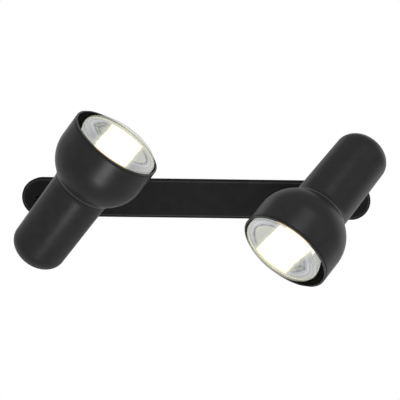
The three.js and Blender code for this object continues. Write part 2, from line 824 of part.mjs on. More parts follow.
// Outer outline of the lamp's glass from the tip of its dome to its neck, as [radius, depth]
function lampOutline() {
  const outline = [];
  for (let i = 0; i < lampDomeSteps; i += 1) {
    const angle = (i / lampDomeSteps) * (Math.PI / 2);
    const bulge = 2 / lampDomePower;
    outline.push([
      lampRadius * Math.sin(angle) ** bulge,
      lampWidestDepth - lampDomeHeight * Math.cos(angle) ** bulge,
    ]);
  }
  const bowl = new THREE.CubicBezierCurve(
    point(lampRadius, lampWidestDepth),
    point(lampRadius, lampWidestDepth + lampBowlFront),
    point(lampBowlRadius, lampNeckDepth - lampBowlBack),
    point(lampNeckRadius, lampNeckDepth),
  );
  outline.push(...bowl.getPoints(lampBowlSteps).map((at) => [at.x, at.y]));
  outline.push([lampNeckRadius, capFront - seatGap - lampGlassWall]);
  return outline;
}

// Radius of the glass where it sits inside the cap
const lampSleeveRadius = capRadius - capWall - seatGap;

function lampGlass(name) {
  const outer = lampOutline();
  const inner = offsetProfile(outer, lampGlassWall).reverse();
  const neck = lampSleeveRadius;
  const crimp = [
    [neck, capFront - seatGap],
    [neck, capFront + lampNeckEnd],
    [neck - lampGlassWall, capFront + lampNeckEnd],
    [neck - lampGlassWall, capFront - seatGap],
  ];
  return mesh(name, turnedAlongX(placed([...outer, ...crimp, ...inner]), lampSegments), finish.glass);
}

function lampMirror(name) {
  const outline = lampOutline();
  const bowl = (inset) => offsetProfile(outline, inset).slice(lampDomeSteps, -1);
  const outer = bowl(lampGlassWall + seatGap);
  const inner = bowl(lampGlassWall + seatGap + mirrorWall).reverse();
  return mesh(name, turnedAlongX(placed([...outer, ...inner]), lampSegments), finish.mirror);
}

function lampCap(name) {
  const back = capFront + capLength;
  const profile = [
    [capRadius, capFront],
    [capRadius, back - capTaper],
    [capMouthRadius + capWall, back],
    [capMouthRadius, back],
    [capRadius - capWall, back - capTaper],
    [capRadius - capWall, capFront],
  ];
  return mesh(name, turnedAlongX(placed(profile), lampSegments), finish.nickel);
}

function lampInsulator(name) {
  const front = capFront + capLength - capTaper / 2;
  const profile = [
    [0, front],
    [capMouthRadius - seatGap, front],
    [capMouthRadius - seatGap, capFront + capLength + seatGap],
    [insulatorRadius, lampTip - lampTipHeight - seatGap],
    [0, lampTip - lampTipHeight - seatGap],
  ];
  return mesh(name, turnedAlongX(placed(profile), castingSegments), finish.vitrite);
}

function lampContact(name) {
  const profile = [
    [0, lampTip - lampTipHeight],
    [lampTipRadius, lampTip - lampTipHeight],
    [lampTipRadius, lampTip - lampTipHeight / 2],
    [lampTipRadius / 2, lampTip],
    [0, lampTip],
  ];
  return mesh(name, turnedAlongX(placed(profile), fastenerSegments), finish.nickel);
}

function lampStem(name) {
  const flare = capFront + lampNeckEnd;
  const flareRadius = lampSleeveRadius - lampGlassWall - seatGap;
  const glass = turnedAlongX(placed([
    [0, stemPressDepth],
    [stemRadius, stemPressDepth],
    [stemRadius, flare - stemFlareLength],
    [flareRadius, flare - stemFlareLength / 4],
    [flareRadius, flare],
    [0, flare],
  ]), castingSegments);
  const wires = [-1, 1].map((side) => {
    const foot = new THREE.Vector3(alongHead(stemPressDepth + stemRadius), side * stemRadius / 2, 0);
    const tip = new THREE.Vector3(alongHead(filamentDepth), side * filamentSpan, 0);
    return lead([foot.toArray(), tip.toArray()], stemWireRadius, 1);
  });
  return mesh(name, shaped({ add: [glass, ...wires] }), finish.glass);
}

function lampFilament(name) {
  const depth = alongHead(filamentDepth) + stemWireRadius + filamentRadius + seatGap;
  const route = [
    [depth, -filamentSpan, 0],
    [depth + filamentRadius, -filamentSpan / 2, 0],
    [depth + 2 * filamentRadius, 0, 0],
    [depth + filamentRadius, filamentSpan / 2, 0],
    [depth, filamentSpan, 0],
  ];
  return mesh(name, lead(route, filamentRadius, leadSegments), finish.tungsten);
}

// Everything on the lamp's own axis
function lampPieces(side) {
  const pieces = [
    holderBody(`${side}_holder_body`),
    holderShell(`${side}_holder_shell`),
    holderContact(`${side}_holder_contact`),
    lampGlass(`${side}_lamp_glass`),
    lampMirror(`${side}_lamp_mirror`),
    lampCap(`${side}_lamp_cap`),
    lampInsulator(`${side}_lamp_insulator`),
    lampContact(`${side}_lamp_contact`),
    lampStem(`${side}_lamp_stem`),
    lampFilament(`${side}_lamp_filament`),
  ];
  const group = new THREE.Group().add(...pieces);
  group.position.set(0, lampY, lampZ);
  return group;
}

function spotlight(name, { side, turn, tilt }) {
  const head = new THREE.Group().add(
    headArm(`${name}_head_arm`),
    armNut(`${name}_arm_nut`),
    holderBracket(`${name}_holder_bracket`),
    bracketScrew(`${name}_bracket_screw`),
    housing(`${name}_housing`),
    headLead(`${name}_head_lead`),
    lampPieces(name),
  );
  head.rotation.y = -THREE.MathUtils.degToRad(tilt);

  const knuckle = new THREE.Group().add(
    swivel(`${name}_swivel`),
    frictionRing(`${name}_friction_ring`),
    knuckleScrew(`${name}_knuckle_screw`),
    knuckleNut(`${name}_knuckle_nut`),
    head,
  );
  knuckle.position.z = knuckleHeight;

  const pivot = new THREE.Group().add(
    stopWasher(`${name}_stop_washer`),
    springWasher(`${name}_spring_washer`),
    swivelNut(`${name}_swivel_nut`),
    knuckle,
  );
  pivot.position.x = side * pivotOffset;
  pivot.rotation.z = THREE.MathUtils.degToRad(turn);
  return pivot;
}

const light = new THREE.Group().add(
  wallBar(),
  mountingStrap(),
  barScrew('bar_screw_left', -1),
  barScrew('bar_screw_right', 1),
  terminalBlock(),
  ...clampScrews(),
  blockScrew('block_screw'),
  earthScrew('earth_screw'),
  feedLead('left_feed_lead', -1),
  feedLead('right_feed_lead', 1),
  spotlight('left', pose.left),
  spotlight('right', pose.right),
);
light.rotation.x = Math.PI / 2;

const part = new THREE.Group().add(light);

export default part;
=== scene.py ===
"""Pivoting spotlight wall light, dressed for its portrait.

A round-ended wall bar carries two bell-shaped spotlight heads on hollow swivels and clamped
knuckles. Each head holds a lit, mirrored reflector lamp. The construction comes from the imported
frame. This script models the fine forms over it, gives every surface its finish and sets up a
plain pale studio.
"""

from __future__ import annotations

import json
import logging
import math
from contextlib import contextmanager
from dataclasses import dataclass, field, replace
from enum import Enum
from typing import Any, Callable, Iterator, Sequence, Union

import bmesh
import bpy
from mathutils import Matrix, Vector

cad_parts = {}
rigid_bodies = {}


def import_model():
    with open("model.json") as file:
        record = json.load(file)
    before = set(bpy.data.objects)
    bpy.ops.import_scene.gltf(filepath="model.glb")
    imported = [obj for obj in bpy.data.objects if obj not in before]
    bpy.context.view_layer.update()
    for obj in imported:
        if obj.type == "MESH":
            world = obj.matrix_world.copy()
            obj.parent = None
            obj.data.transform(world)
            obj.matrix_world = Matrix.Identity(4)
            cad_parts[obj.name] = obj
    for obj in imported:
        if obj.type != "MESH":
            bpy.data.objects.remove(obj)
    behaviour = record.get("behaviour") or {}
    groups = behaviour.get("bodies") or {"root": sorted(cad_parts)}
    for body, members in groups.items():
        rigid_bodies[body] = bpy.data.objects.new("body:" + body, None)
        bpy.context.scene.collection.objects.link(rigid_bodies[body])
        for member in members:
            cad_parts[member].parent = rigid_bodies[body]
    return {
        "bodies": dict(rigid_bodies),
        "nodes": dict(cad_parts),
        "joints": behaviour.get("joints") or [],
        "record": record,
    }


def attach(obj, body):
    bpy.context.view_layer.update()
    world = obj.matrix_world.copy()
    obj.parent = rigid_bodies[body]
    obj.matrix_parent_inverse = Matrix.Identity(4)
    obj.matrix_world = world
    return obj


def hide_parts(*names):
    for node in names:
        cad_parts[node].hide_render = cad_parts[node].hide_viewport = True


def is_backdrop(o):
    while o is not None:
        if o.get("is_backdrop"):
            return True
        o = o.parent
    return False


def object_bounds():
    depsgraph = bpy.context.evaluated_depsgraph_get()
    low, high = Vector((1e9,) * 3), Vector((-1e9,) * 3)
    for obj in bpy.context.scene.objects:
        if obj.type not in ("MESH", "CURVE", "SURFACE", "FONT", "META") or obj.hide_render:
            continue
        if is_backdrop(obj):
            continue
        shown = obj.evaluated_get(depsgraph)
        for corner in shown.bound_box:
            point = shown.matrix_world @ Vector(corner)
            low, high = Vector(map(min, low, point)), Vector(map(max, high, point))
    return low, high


LOG = logging.getLogger("wall_light")

MM = 0.001
FULL_TURN = 2 * math.pi
QUARTER_TURN = math.pi / 2
MERGE_DISTANCE = 0.002 * MM
SQUARE_ON = 0.99
NOISE_MEAN = 0.5
RESIN_IOR = 1.5
GLASS_IOR = 1.46
BLACK = (0.0, 0.0, 0.0)
WHITE = (1.0, 1.0, 1.0)
UPWARDS = Vector((0.0, 0.0, 1.0))
OUTWARDS = Vector((0.0, -1.0, 0.0))

Point = tuple[float, float]
Span = tuple[float, float]
Colour = tuple[float, float, float]
Number = Union["Value", float]
Piece = bpy.types.Object


class Side(Enum):
    """The two spotlights, as seen from the room."""

    LEFT = "left"
    RIGHT = "right"


class Element(Enum):
    """What a selection in edit mode picks."""

    VERTEX = "VERT"
    EDGE = "EDGE"
    FACE = "FACE"


class Join(Enum):
    """How a second form changes the first."""

    ADD = "UNION"
    CUT = "DIFFERENCE"
    KEEP = "INTERSECT"


class WearAndLight(Enum):
    """Where a coat of paint is worn or carries painted highlights, and where painted shade darkens
    it.
    """

    NONE = "none"
    CORNERS = "corners"
    BAR_EDGE = "bar edge"
    TURNED = "turned"


class Ray(Enum):
    """Kinds of ray that the world and the stage tell apart."""

    CAMERA = "Is Camera Ray"
    GLOSSY = "Is Glossy Ray"
    TRANSMISSION = "Is Transmission Ray"


class Slot(Enum):
    """The finishes that the record names."""

    BAR_PAINT = "bar_paint"
    HEAD_PAINT = "head_paint"
    ZINC = "zinc"
    NICKEL = "nickel"
    BRASS = "brass"
    MOULDING = "moulding"
    GLASS = "glass"
    MIRROR = "mirror"
    VITRITE = "vitrite"
    SLEEVE = "sleeve"
    TUNGSTEN = "tungsten"


class Value:
    """One output of a node tree, with arithmetic that adds Math nodes."""

    def __init__(self, recipe: "Recipe", socket: bpy.types.NodeSocket) -> None:
        """Keep the tree and the socket.

        Args:
            recipe: the node tree that the socket belongs to.
            socket: the output socket.
        """
        self.recipe = recipe
        self.socket = socket

    def __add__(self, other: Number) -> "Value":
        """Sum of this value and another."""
        return self.recipe.math("ADD", self, other)

    def __radd__(self, other: Number) -> "Value":
        """Sum of a number and this value."""
        return self.recipe.math("ADD", other, self)

    def __sub__(self, other: Number) -> "Value":
        """This value less another."""
        return self.recipe.math("SUBTRACT", self, other)

    def __rsub__(self, other: Number) -> "Value":
        """A number less this value."""
        return self.recipe.math("SUBTRACT", other, self)

    def __mul__(self, other: Number) -> "Value":
        """Product of this value and another."""
        return self.recipe.math("MULTIPLY", self, other)

    def __rmul__(self, other: Number) -> "Value":
        """Product of a number and this value."""
        return self.recipe.math("MULTIPLY", other, self)

    def __truediv__(self, other: Number) -> "Value":
        """This value divided by another."""
        return self.recipe.math("DIVIDE", self, other)

    def __pow__(self, other: Number) -> "Value":
        """This value raised to a power."""
        return self.recipe.math("POWER", self, other)

    def __abs__(self) -> "Value":
        """Size of this value without its sign."""
        return self.recipe.math("ABSOLUTE", self)

    def near(self, centre: float, half: float) -> "Value":
        """Soft bump of this value round a centre.

        Args:
            centre: where the bump is 1.
            half: how far from there it falls to 0.

        Returns:
            A value from 0 to 1.
        """
        return abs(self - centre).fall(0.0, half)

    def fall(self, low: float, high: float) -> "Value":
        """Smooth step of this value from 1 down to 0."""
        return 1.0 - self.step(low, high)

    def under(self, limit: float, soft: float) -> "Value":
        """Mask that is 1 where this value is under a limit, with a soft edge."""
        return self.fall(limit - soft, limit + soft)

    def step(self, low: float, high: float) -> "Value":
        """Smooth step of this value.

        Args:
            low: where the step starts at 0.
            high: where the step reaches 1.

        Returns:
            A value from 0 to 1.
        """
        settings = {"interpolation_type": "SMOOTHSTEP"}
        inputs = {"Value": self, "From Min": low, "From Max": high}
        return self.recipe.node("ShaderNodeMapRange", settings, inputs)


class Recipe:
    """A node tree written as expressions."""

    def __init__(self, tree: bpy.types.NodeTree) -> None:
        """Empty the tree.

        Args:
            tree: the node tree of a material or of the world.
        """
        self.tree = tree
        self.tree.nodes.clear()

    def node(
        self,
        kind: str,
        settings: dict[str, Any] | None = None,
        inputs: dict[str | int, Any] | None = None,
        output: str | int = 0,
    ) -> Value:
        """Add one node.

        Args:
            kind: the node's type name.
            settings: its properties, with a ramp's stops under "stops".
            inputs: values or links of its sockets, by name or number.
            output: the output that is wanted.

        Returns:
            The wanted output.
        """
        made = self.tree.nodes.new(kind)
        for name, setting in (settings or {}).items():
            if name == "stops":
                self._set_stops(made.color_ramp, setting)
            else:
                setattr(made, name, setting)
        for name, wanted in (inputs or {}).items():
            self.feed(made.inputs[name], wanted)
        return Value(self, made.outputs[output] if made.outputs else None)

    @staticmethod
    def _set_stops(ramp: bpy.types.ColorRamp, stops: Sequence[tuple[float, Colour]]) -> None:
        """Give a ramp its stops.

        Args:
            ramp: the colour ramp.
            stops: place and colour of each stop, in order.
        """
        while len(ramp.elements) < len(stops):
            ramp.elements.new(1.0)
        for element, (place, colour) in zip(ramp.elements, stops):
            element.position = place
            element.color = (*colour, 1.0)

    def feed(self, socket: bpy.types.NodeSocket, wanted: Any) -> None:
        """Link a value to a socket, or set the socket.

        Args:
            socket: the input socket.
            wanted: a value to link, or a number or colour to set.
        """
        if isinstance(wanted, Value):
            self.tree.links.new(wanted.socket, socket)
        elif isinstance(wanted, tuple) and socket.type == "RGBA":
            socket.default_value = (*wanted, 1.0)
        else:
            socket.default_value = wanted

    def math(self, operation: str, first: Number, second: Number = 0.0) -> Value:
        """One Math node on two numbers."""
        return self.node("ShaderNodeMath", {"operation": operation}, {0: first, 1: second})

    def larger(self, first: Number, second: Number) -> Value:
        """The larger of two numbers."""
        return self.math("MAXIMUM", first, second)

    def reach(self, first: Value, second: Value) -> Value:
        """Length of a straight way from its two parts."""
        return self.math("SQRT", first * first + second * second)

    def waves(self, height: Value, pitch: float) -> Value:
        """Even waves from 0 to 1 that follow a height, one to each pitch."""
        return (self.math("SINE", height * (FULL_TURN / pitch)) + 1.0) / 2.0

    def blend(self, share: Number, first: Any, second: Any) -> Value:
        """Mix two colours.

        Args:
            share: share of the second colour, from 0 to 1.
            first: the colour or value at 0.
            second: the colour or value at 1.

        Returns:
            The mixed colour.
        """
        inputs = {0: share, 6: first, 7: second}
        return self.node("ShaderNodeMix", {"data_type": "RGBA"}, inputs, 2)

    def place(self) -> Value:
        """Place on the piece, in metres in the light's own frame."""
        return self.node("ShaderNodeTexCoord", output="Object")

    def split(self, vector: Value, axis: str) -> Value:
        """One part of a vector.

        Args:
            vector: the vector.
            axis: "X", "Y" or "Z".

        Returns:
            The part.
        """
        return self.node("ShaderNodeSeparateXYZ", {}, {"Vector": vector}, axis)

    def chart(self, name: str) -> Value:
        """Place on the piece's own map of that name."""
        return self.node("ShaderNodeUVMap", {"uv_map": name})

    def pair(self, vector: Value) -> tuple[Value, Value]:
        """First two parts of a vector."""
        return self.split(vector, "X"), self.split(vector, "Y")

    def ray(self, kind: Ray) -> Value:
        """1 for a ray of that kind and 0 for any other."""
        return self.node("ShaderNodeLightPath", output=kind.value)

    def noise(self, place: Value, size: float, detail: float = 2.0) -> Value:
        """Soft random pattern from 0 to 1.

        Args:
            place: where on the piece.
            size: width of one cell of the pattern, in metres.
            detail: how many finer layers it has.

        Returns:
            The pattern's value.
        """
        inputs = {"Vector": place, "Scale": 1 / size, "Detail": detail}
        return self.node("ShaderNodeTexNoise", {}, inputs)

    def relief(self, height: Value, depth: float) -> Value:
        """Surface normal of a fine relief.

        Args:
            height: the relief, from 0 to 1.
            depth: its full height in metres.

        Returns:
            The normal.
        """
        inputs = {"Height": height, "Distance": depth, "Strength": 1.0}
        return self.node("ShaderNodeBump", {}, inputs)


class MaterialRecipe(Recipe):
    """The node tree of one material round one surface shader."""

    def __init__(self, name: str) -> None:
        """Start a material.

        Args:
            name: the material's name.
        """
        self.material = bpy.data.materials.new(name)
        self.material.use_nodes = True
        super().__init__(self.material.node_tree)
        self.shader = self.tree.nodes.new("ShaderNodeBsdfPrincipled")
        self.output = self.tree.nodes.new("ShaderNodeOutputMaterial")
        self.tree.links.new(self.shader.outputs[0], self.output.inputs[0])

    def surface(self, **sockets: Any) -> bpy.types.Material:
        """Feed the shader's sockets.

        Args:
            sockets: values by the socket's name, in lower case with underscores.

        Returns:
            The finished material.
        """
        names = {socket.name.lower().replace(" ", "_"): socket for socket in self.shader.inputs}
        for name, wanted in sockets.items():
            self.feed(names[name], wanted)
        return self.material


def dimmed(colour: Colour, share: float) -> Colour:
    """A colour at a share of its strength."""
    return tuple(share * part for part in colour)


@dataclass(frozen=True)
class Finish:
    """A finish of the light, under the name of its material."""

    name: str

    def material(self) -> bpy.types.Material:
        """Build the material."""
        recipe = MaterialRecipe(self.name)
        return recipe.surface(**self.sockets(recipe))

    def sockets(self, recipe: MaterialRecipe) -> dict[str, Any]:
        """Work out what the shader's sockets hold.

        Args:
            recipe: the material's recipe.

        Returns:
            A number, a colour or a value for each socket, by the socket's name.
        """
        raise NotImplementedError(self.name)


@dataclass(frozen=True)
class PowderCoat(Finish):
    """Satin powder coat: nearly black, with a fine orange peel, a faint mottle, and worn edges or
    painted highlights and painted shade.
    """

    deep: Colour
    lifted: Colour
    roughness: float
    wear_and_light: WearAndLight = WearAndLight.CORNERS
    # Colour of wear or painted highlights, and colour of painted shade.
    wear_and_highlight: Colour = (0.06, 0.061, 0.06)
    painted_shade: Colour = (0.006, 0.006, 0.006)
    spill: Colour = (0.55, 0.31, 0.05)
    specular: float = 0.5
    roughness_spread: float = 0.07
    painted_shade_roughness: float = 0.2
    mottle_size: float = 9 * MM
    mottle_share: float = 0.6
    grain_size: float = 1.1 * MM
    tone_span: Span = (0.3, 0.7)
    patch_least: float = 0.325
    patch_spread: float = 0.9
    peel_size: float = 0.75 * MM
    peel_depth: float = 0.012 * MM
    corner_span: Span = (0.53, 0.6)
    hollow_span: Span = (0.42, 0.48)
    bar_reach: float = 161.45 * MM
    bar_half: float = 20 * MM
    bar_line: float = 2.3 * MM
    line_half: float = 0.8 * MM
    rim_crest: float = 0.5 * MM
    groove: float = 2.1 * MM
    # Depth of the neck's crease, and the painted highlight band above it.
    crease: float = 61.5 * MM
    crease_half: float = 1.6 * MM
    crease_lift: float = 2.4 * MM
    crease_highlight: float = 0.5

    def sockets(self, recipe: MaterialRecipe) -> dict[str, Any]:
        """Mix the coat with its wear, painted highlights and painted shade, and let the lamp's
        light glow where it spills.

        Args:
            recipe: the material's recipe.

        Returns:
            What each socket holds.
        """
        place = recipe.place()
        mottle = recipe.noise(place, self.mottle_size, detail=3.0)
        grain = recipe.noise(place, self.grain_size)
        peel = recipe.noise(place, self.peel_size, detail=1.0)
        tone = mottle * self.mottle_share + grain * (1.0 - self.mottle_share)
        coat = recipe.blend(tone.step(*self.tone_span), self.deep, self.lifted)
        roughness = self.roughness + self.roughness_spread * (tone - NOISE_MEAN)
        if self.wear_and_light is not WearAndLight.NONE:
            # Lighter for wear or painted highlights, darker for painted shade.
            wear_and_highlight, shade_mask = self._highlight_and_shade_masks(recipe, place)
            patchy = self.patch_least + self.patch_spread * mottle
            coat = recipe.blend(wear_and_highlight * patchy, coat, self.wear_and_highlight)
            coat = recipe.blend(shade_mask * patchy, coat, self.painted_shade)
            roughness = roughness + self.painted_shade_roughness * shade_mask
        spill = recipe.node("ShaderNodeAttribute", {"attribute_name": Housing.SPILL}, output="Fac")
        return {
            "base_color": coat,
            "roughness": roughness,
            "normal": recipe.relief(peel, self.peel_depth),
            "ior": RESIN_IOR,
            "specular_ior_level": self.specular,
            "emission_color": recipe.blend(spill, BLACK, self.spill),
            "emission_strength": 1.0,
        }

    def _highlight_and_shade_masks(self, recipe: Recipe, place: Value) -> tuple[Value, Value]:
        """Where the coat is worn or painted lighter as a highlight, and where painted shade darkens
        it.

        Args:
            recipe: the material's recipe.
            place: place on the piece.

        Returns:
            Two shares from 0 to 1.
        """
        if self.wear_and_light is WearAndLight.BAR_EDGE:
            # Painted highlight: a light line just inside the bar's rounded front edge; painted
            # shade: darker right at the edge.
            over = recipe.larger(abs(recipe.split(place, "X")) - self.bar_reach, 0.0)
            inset = self.bar_half - recipe.reach(over, recipe.split(place, "Z"))
            return inset.near(self.bar_line, self.line_half), inset.near(0.0, self.bar_line)
        if self.wear_and_light is WearAndLight.TURNED:
            # Painted highlights on the rim's crest and in a band above the neck's crease; painted
            # shade in the groove behind the bead and in the crease.
            depth = recipe.split(recipe.chart(Housing.UV_NAME), "X")
            crest = depth.near(self.rim_crest, self.line_half)
            above = depth.near(self.crease - self.crease_lift, self.crease_half)
            groove = depth.near(self.groove, self.line_half)
            crease = depth.near(self.crease, self.crease_half)
            return crest + self.crease_highlight * above, groove + crease
        # Wear on sharp corners, and painted shade in hollows.
        sharp = recipe.node("ShaderNodeNewGeometry", output="Pointiness")
        return sharp.step(*self.corner_span), sharp.fall(*self.hollow_span)


@dataclass(frozen=True)
class PlatedMetal(Finish):
    """Sheet or turned metal with a thin plating, a faint spangle and dull patches."""

    bright: Colour
    dull: Colour
    roughness: float
    patch_size: float = 6 * MM
    worn_span: Span = (0.35, 0.68)
    worn_roughness: float = 0.14
    brush_size: float = 0.35 * MM
    brush_depth: float = 0.006 * MM
    brush_roughness: float = 0.05

    def sockets(self, recipe: MaterialRecipe) -> dict[str, Any]:
        """Dull the plating in patches over finely brushed metal.

        Args:
            recipe: the material's recipe.

        Returns:
            What each socket holds.
        """
        place = recipe.place()
        worn = recipe.noise(place, self.patch_size, detail=4.0).step(*self.worn_span)
        brush = recipe.noise(place, self.brush_size)
        return {
            "base_color": recipe.blend(worn, self.bright, self.dull),
            "metallic": 1.0,
            "roughness": self.roughness + self.worn_roughness * worn + self.brush_roughness * brush,
            "normal": recipe.relief(brush, self.brush_depth),
        }


@dataclass(frozen=True)
class Moulding(Finish):
    """Moulded heat-proof resin, ceramic or black glass, with fine specks and a slight skin."""

    body: Colour
    speck: Colour
    roughness: float
    speck_size: float = 0.6 * MM
    speck_span: Span = (0.6, 0.72)
    skin_size: float = 1.6 * MM
    skin_depth: float = 0.01 * MM
    skin_roughness: float = 0.1

    def sockets(self, recipe: MaterialRecipe) -> dict[str, Any]:
        """Scatter specks through the body, under a slightly uneven skin.

        Args:
            recipe: the material's recipe.

        Returns:
            What each socket holds.
        """
        place = recipe.place()
        specks = recipe.noise(place, self.speck_size).step(*self.speck_span)
        skin = recipe.noise(place, self.skin_size)
        return {
            "base_color": recipe.blend(specks, self.body, self.speck),
            "roughness": self.roughness + self.skin_roughness * (skin - NOISE_MEAN),
            "normal": recipe.relief(skin, self.skin_depth),
            "ior": RESIN_IOR,
        }


@dataclass(frozen=True)
class Sleeve(Finish):
    """Braided glass-fibre sleeve of the heat-proof leads."""

    yarn: Colour
    gap: Colour
    roughness: float = 0.75
    gap_span: Span = (0.2, 0.7)
    braid_size: float = 0.55 * MM
    braid_depth: float = 0.05 * MM
    braid_looseness: float = 0.25

    def sockets(self, recipe: MaterialRecipe) -> dict[str, Any]:
        """Lay the yarns as square cells with darker gaps between them.

        Args:
            recipe: the material's recipe.

        Returns:
            What each socket holds.
        """
        settings = {"feature": "F1", "distance": "CHEBYCHEV"}
        inputs = {
            "Vector": recipe.place(),
            "Scale": 1 / self.braid_size,
            "Randomness": self.braid_looseness,
        }
        braid = recipe.node("ShaderNodeTexVoronoi", settings, inputs, "Distance")
        return {
            "base_color": recipe.blend(braid.step(*self.gap_span), self.yarn, self.gap),
            "roughness": self.roughness,
            "normal": recipe.relief(1.0 - braid, self.braid_depth),
        }


@dataclass(frozen=True)
class BulbGlass(Finish):
    """Thin clear glass of a burning lamp: its thick rim lit by a painted glow of the lamp's light,
    and greyer towards its outline.
    """

    tint: Colour
    rim_glow: Colour
    far_glow: Colour
    clear_share: float
    edge_share: float
    rim_share: float
    edge_power: float = 3.0
    roughness: float = 0.04
    flow_roughness: float = 0.03
    flow_dimming: float = 0.9
    flow_size: float = 14 * MM
    flow_depth: float = 0.05 * MM
    rim_span: Span = (0.5 * MM, 2.5 * MM)
    rim_slope: float = 0.07
    bowl_span: Span = (-1.8 * MM, -1.3 * MM)
    near_span: Span = (25 * MM, 45 * MM)
    band: Colour = (1.0, 0.98, 0.92)
    band_span: Span = (17.5 * MM, 18.5 * MM)
    band_slant: float = -0.1
    line_pitch: float = 1.7 * MM
    line_share: float = 0.15
    line_dimming: float = 0.2

    def sockets(self, recipe: MaterialRecipe) -> dict[str, Any]:
        """Paint the lamp's light as a glow in the thick rim, in fine lines, with the lamp's band of
        light in its near side.

        Args:
            recipe: the material's recipe.

        Returns:
            What each socket holds.
        """
        flow = recipe.noise(recipe.place(), self.flow_size, detail=1.0)
        facing = recipe.node("ShaderNodeLayerWeight", output="Facing")
        near, height = recipe.pair(recipe.chart(ReflectorLamp.RIM_MAP))
        far_rim = (height + self.rim_slope * near).fall(*self.rim_span)
        rim = recipe.larger(far_rim, height.fall(*self.bowl_span))
        nearness = near.step(*self.near_span)
        glow = recipe.blend(nearness, self.far_glow, self.rim_glow)
        across, out = recipe.pair(recipe.chart(ReflectorLamp.BAND_MAP))
        banded = abs(across + self.band_slant * out).fall(*self.band_span)
        glow = recipe.blend(nearness * banded, glow, self.band)
        lines = recipe.waves(height + flow * self.line_pitch, self.line_pitch)
        clear = self.clear_share + (self.edge_share - self.clear_share) * facing ** self.edge_power
        solid = self.rim_share * (1.0 - self.line_share + self.line_share * lines)
        return {
            "base_color": recipe.blend(flow, self.tint, dimmed(self.tint, self.flow_dimming)),
            "roughness": self.roughness + self.flow_roughness * flow,
            "alpha": clear + (solid - clear) * rim,
            "normal": recipe.relief(flow, self.flow_depth),
            "ior": GLASS_IOR,
            "emission_color": recipe.blend(rim * (1.0 - self.line_dimming * lines), BLACK, glow),
            "emission_strength": 1.0,
        }


@dataclass(frozen=True)
class SilverMirror(Finish):
    """Silvered bowl of a burning lamp: rippled in rings, with a painted reflection of the studio
    and the lamp's own light painted across it.
    """

    cool: Colour
    pale: Colour
    olive: Colour
    lilac: Colour
    dark: Colour
    band: Colour
    fringe: Colour
    halo: Colour
    glow_strength: float
    radius: float = 40 * MM
    roughness: float = 0.2
    ripple_roughness: float = 0.12
    zone_share: float = 0.72
    silver_share: float = 0.16
    rim_span: Span = (4.6 * MM, 5.8 * MM)
    band_half: float = 18.8 * MM
    band_soft: float = 0.6 * MM
    band_slant: float = 0.1
    band_wander: float = 3 * MM
    fringe_width: float = 0.9 * MM
    halo_share: float = 0.8
    halo_reach: float = 5 * MM
    ripple_pitch: float = 3 * MM
    ripple_depth: float = 0.08 * MM
    ripple_wander: float = 2.6 * MM
    ripple_share: float = 0.3
    ripple_span: Span = (0.6, 1.0)
    arc_depth: float = 9 * MM
    arc_half: float = 2.1 * MM
    arc_least: float = 0.55
    arc_share: float = 0.8
    streak_depth: float = 13 * MM
    streak_half: float = 1.3 * MM
    lilac_depth: float = 6 * MM
    lilac_half: float = 3 * MM
    olive_span: Span = (8.5 * MM, 10.5 * MM)
    olive_least: float = 0.4
    patch_size: float = 8 * MM
    patch_span: Span = (0.42, 0.6)

    def sockets(self, recipe: MaterialRecipe) -> dict[str, Any]:
        """Cross the painted reflection of the studio with the painted band of the lamp's light.

        Args:
            recipe: the material's recipe.

        Returns:
            What each socket holds.
        """
        mouth = recipe.chart(ReflectorLamp.MOUTH_MAP)
        over, aside = recipe.pair(mouth)
        depth = self.radius - recipe.reach(over, aside)
        wander = recipe.noise(mouth, 2 * self.patch_size, detail=1.0) - NOISE_MEAN
        drift = self.ripple_wander * wander
        ring = depth + drift
        ripple = recipe.waves(ring, self.ripple_pitch)
        ripple = ripple * ring.fall(self.arc_depth, self.olive_span[1])
        shaded = aside.fall(-self.arc_half, self.arc_half)
        patch = recipe.noise(mouth, self.patch_size).step(*self.patch_span)
        across, out = recipe.pair(recipe.chart(ReflectorLamp.BAND_MAP))
        edge = abs(across + out * self.band_slant + wander * self.band_wander)
        # The base colour paints the reflection: pale, cool, lilac and olive zones, dark ripple
        # lines, arcs and streaks, and a pale halo round the band.
        inmost = ring.step(*self.olive_span)
        zone = recipe.blend(inmost, self.cool, self.pale)
        zone = recipe.blend(ring.near(self.lilac_depth, self.lilac_half), zone, self.lilac)
        olive = self.olive_least + (1.0 - self.olive_least) * patch
        zone = recipe.blend(inmost * shaded * olive, zone, self.olive)
        zone = recipe.blend(ripple.step(*self.ripple_span) * self.ripple_share, zone, self.dark)
        arc = (ring + drift).near(self.arc_depth, self.arc_half)
        arc = arc * (self.arc_least + (1.0 - self.arc_least) * patch)
        zone = recipe.blend(arc * self.arc_share, zone, self.dark)
        streak = (ring + drift + drift).near(self.streak_depth, self.streak_half)
        zone = recipe.blend(streak * shaded * self.arc_share, zone, self.dark)
        halo = edge.fall(self.band_half, self.band_half + self.halo_reach)
        zone = recipe.blend(halo * self.halo_share, zone, self.halo)
        # The glow paints the lamp's light: a bright band with a yellow fringe, over a dimmer copy
        # of the painted reflection.
        fringed = edge.under(self.band_half, self.band_soft)
        glow = recipe.blend(fringed, recipe.blend(self.zone_share, BLACK, zone), self.fringe)
        inside = recipe.larger(depth.step(*self.rim_span), over.step(0.0, self.rim_span[1]))
        lit = edge.under(self.band_half - self.fringe_width, self.band_soft) * inside
        return {
            "base_color": recipe.blend(self.silver_share, BLACK, zone),
            "metallic": 1.0,
            "roughness": self.roughness + self.ripple_roughness * ripple,
            "normal": recipe.relief(ripple, self.ripple_depth),
            "emission_color": recipe.blend(lit, glow, self.band),
            "emission_strength": self.glow_strength,
        }


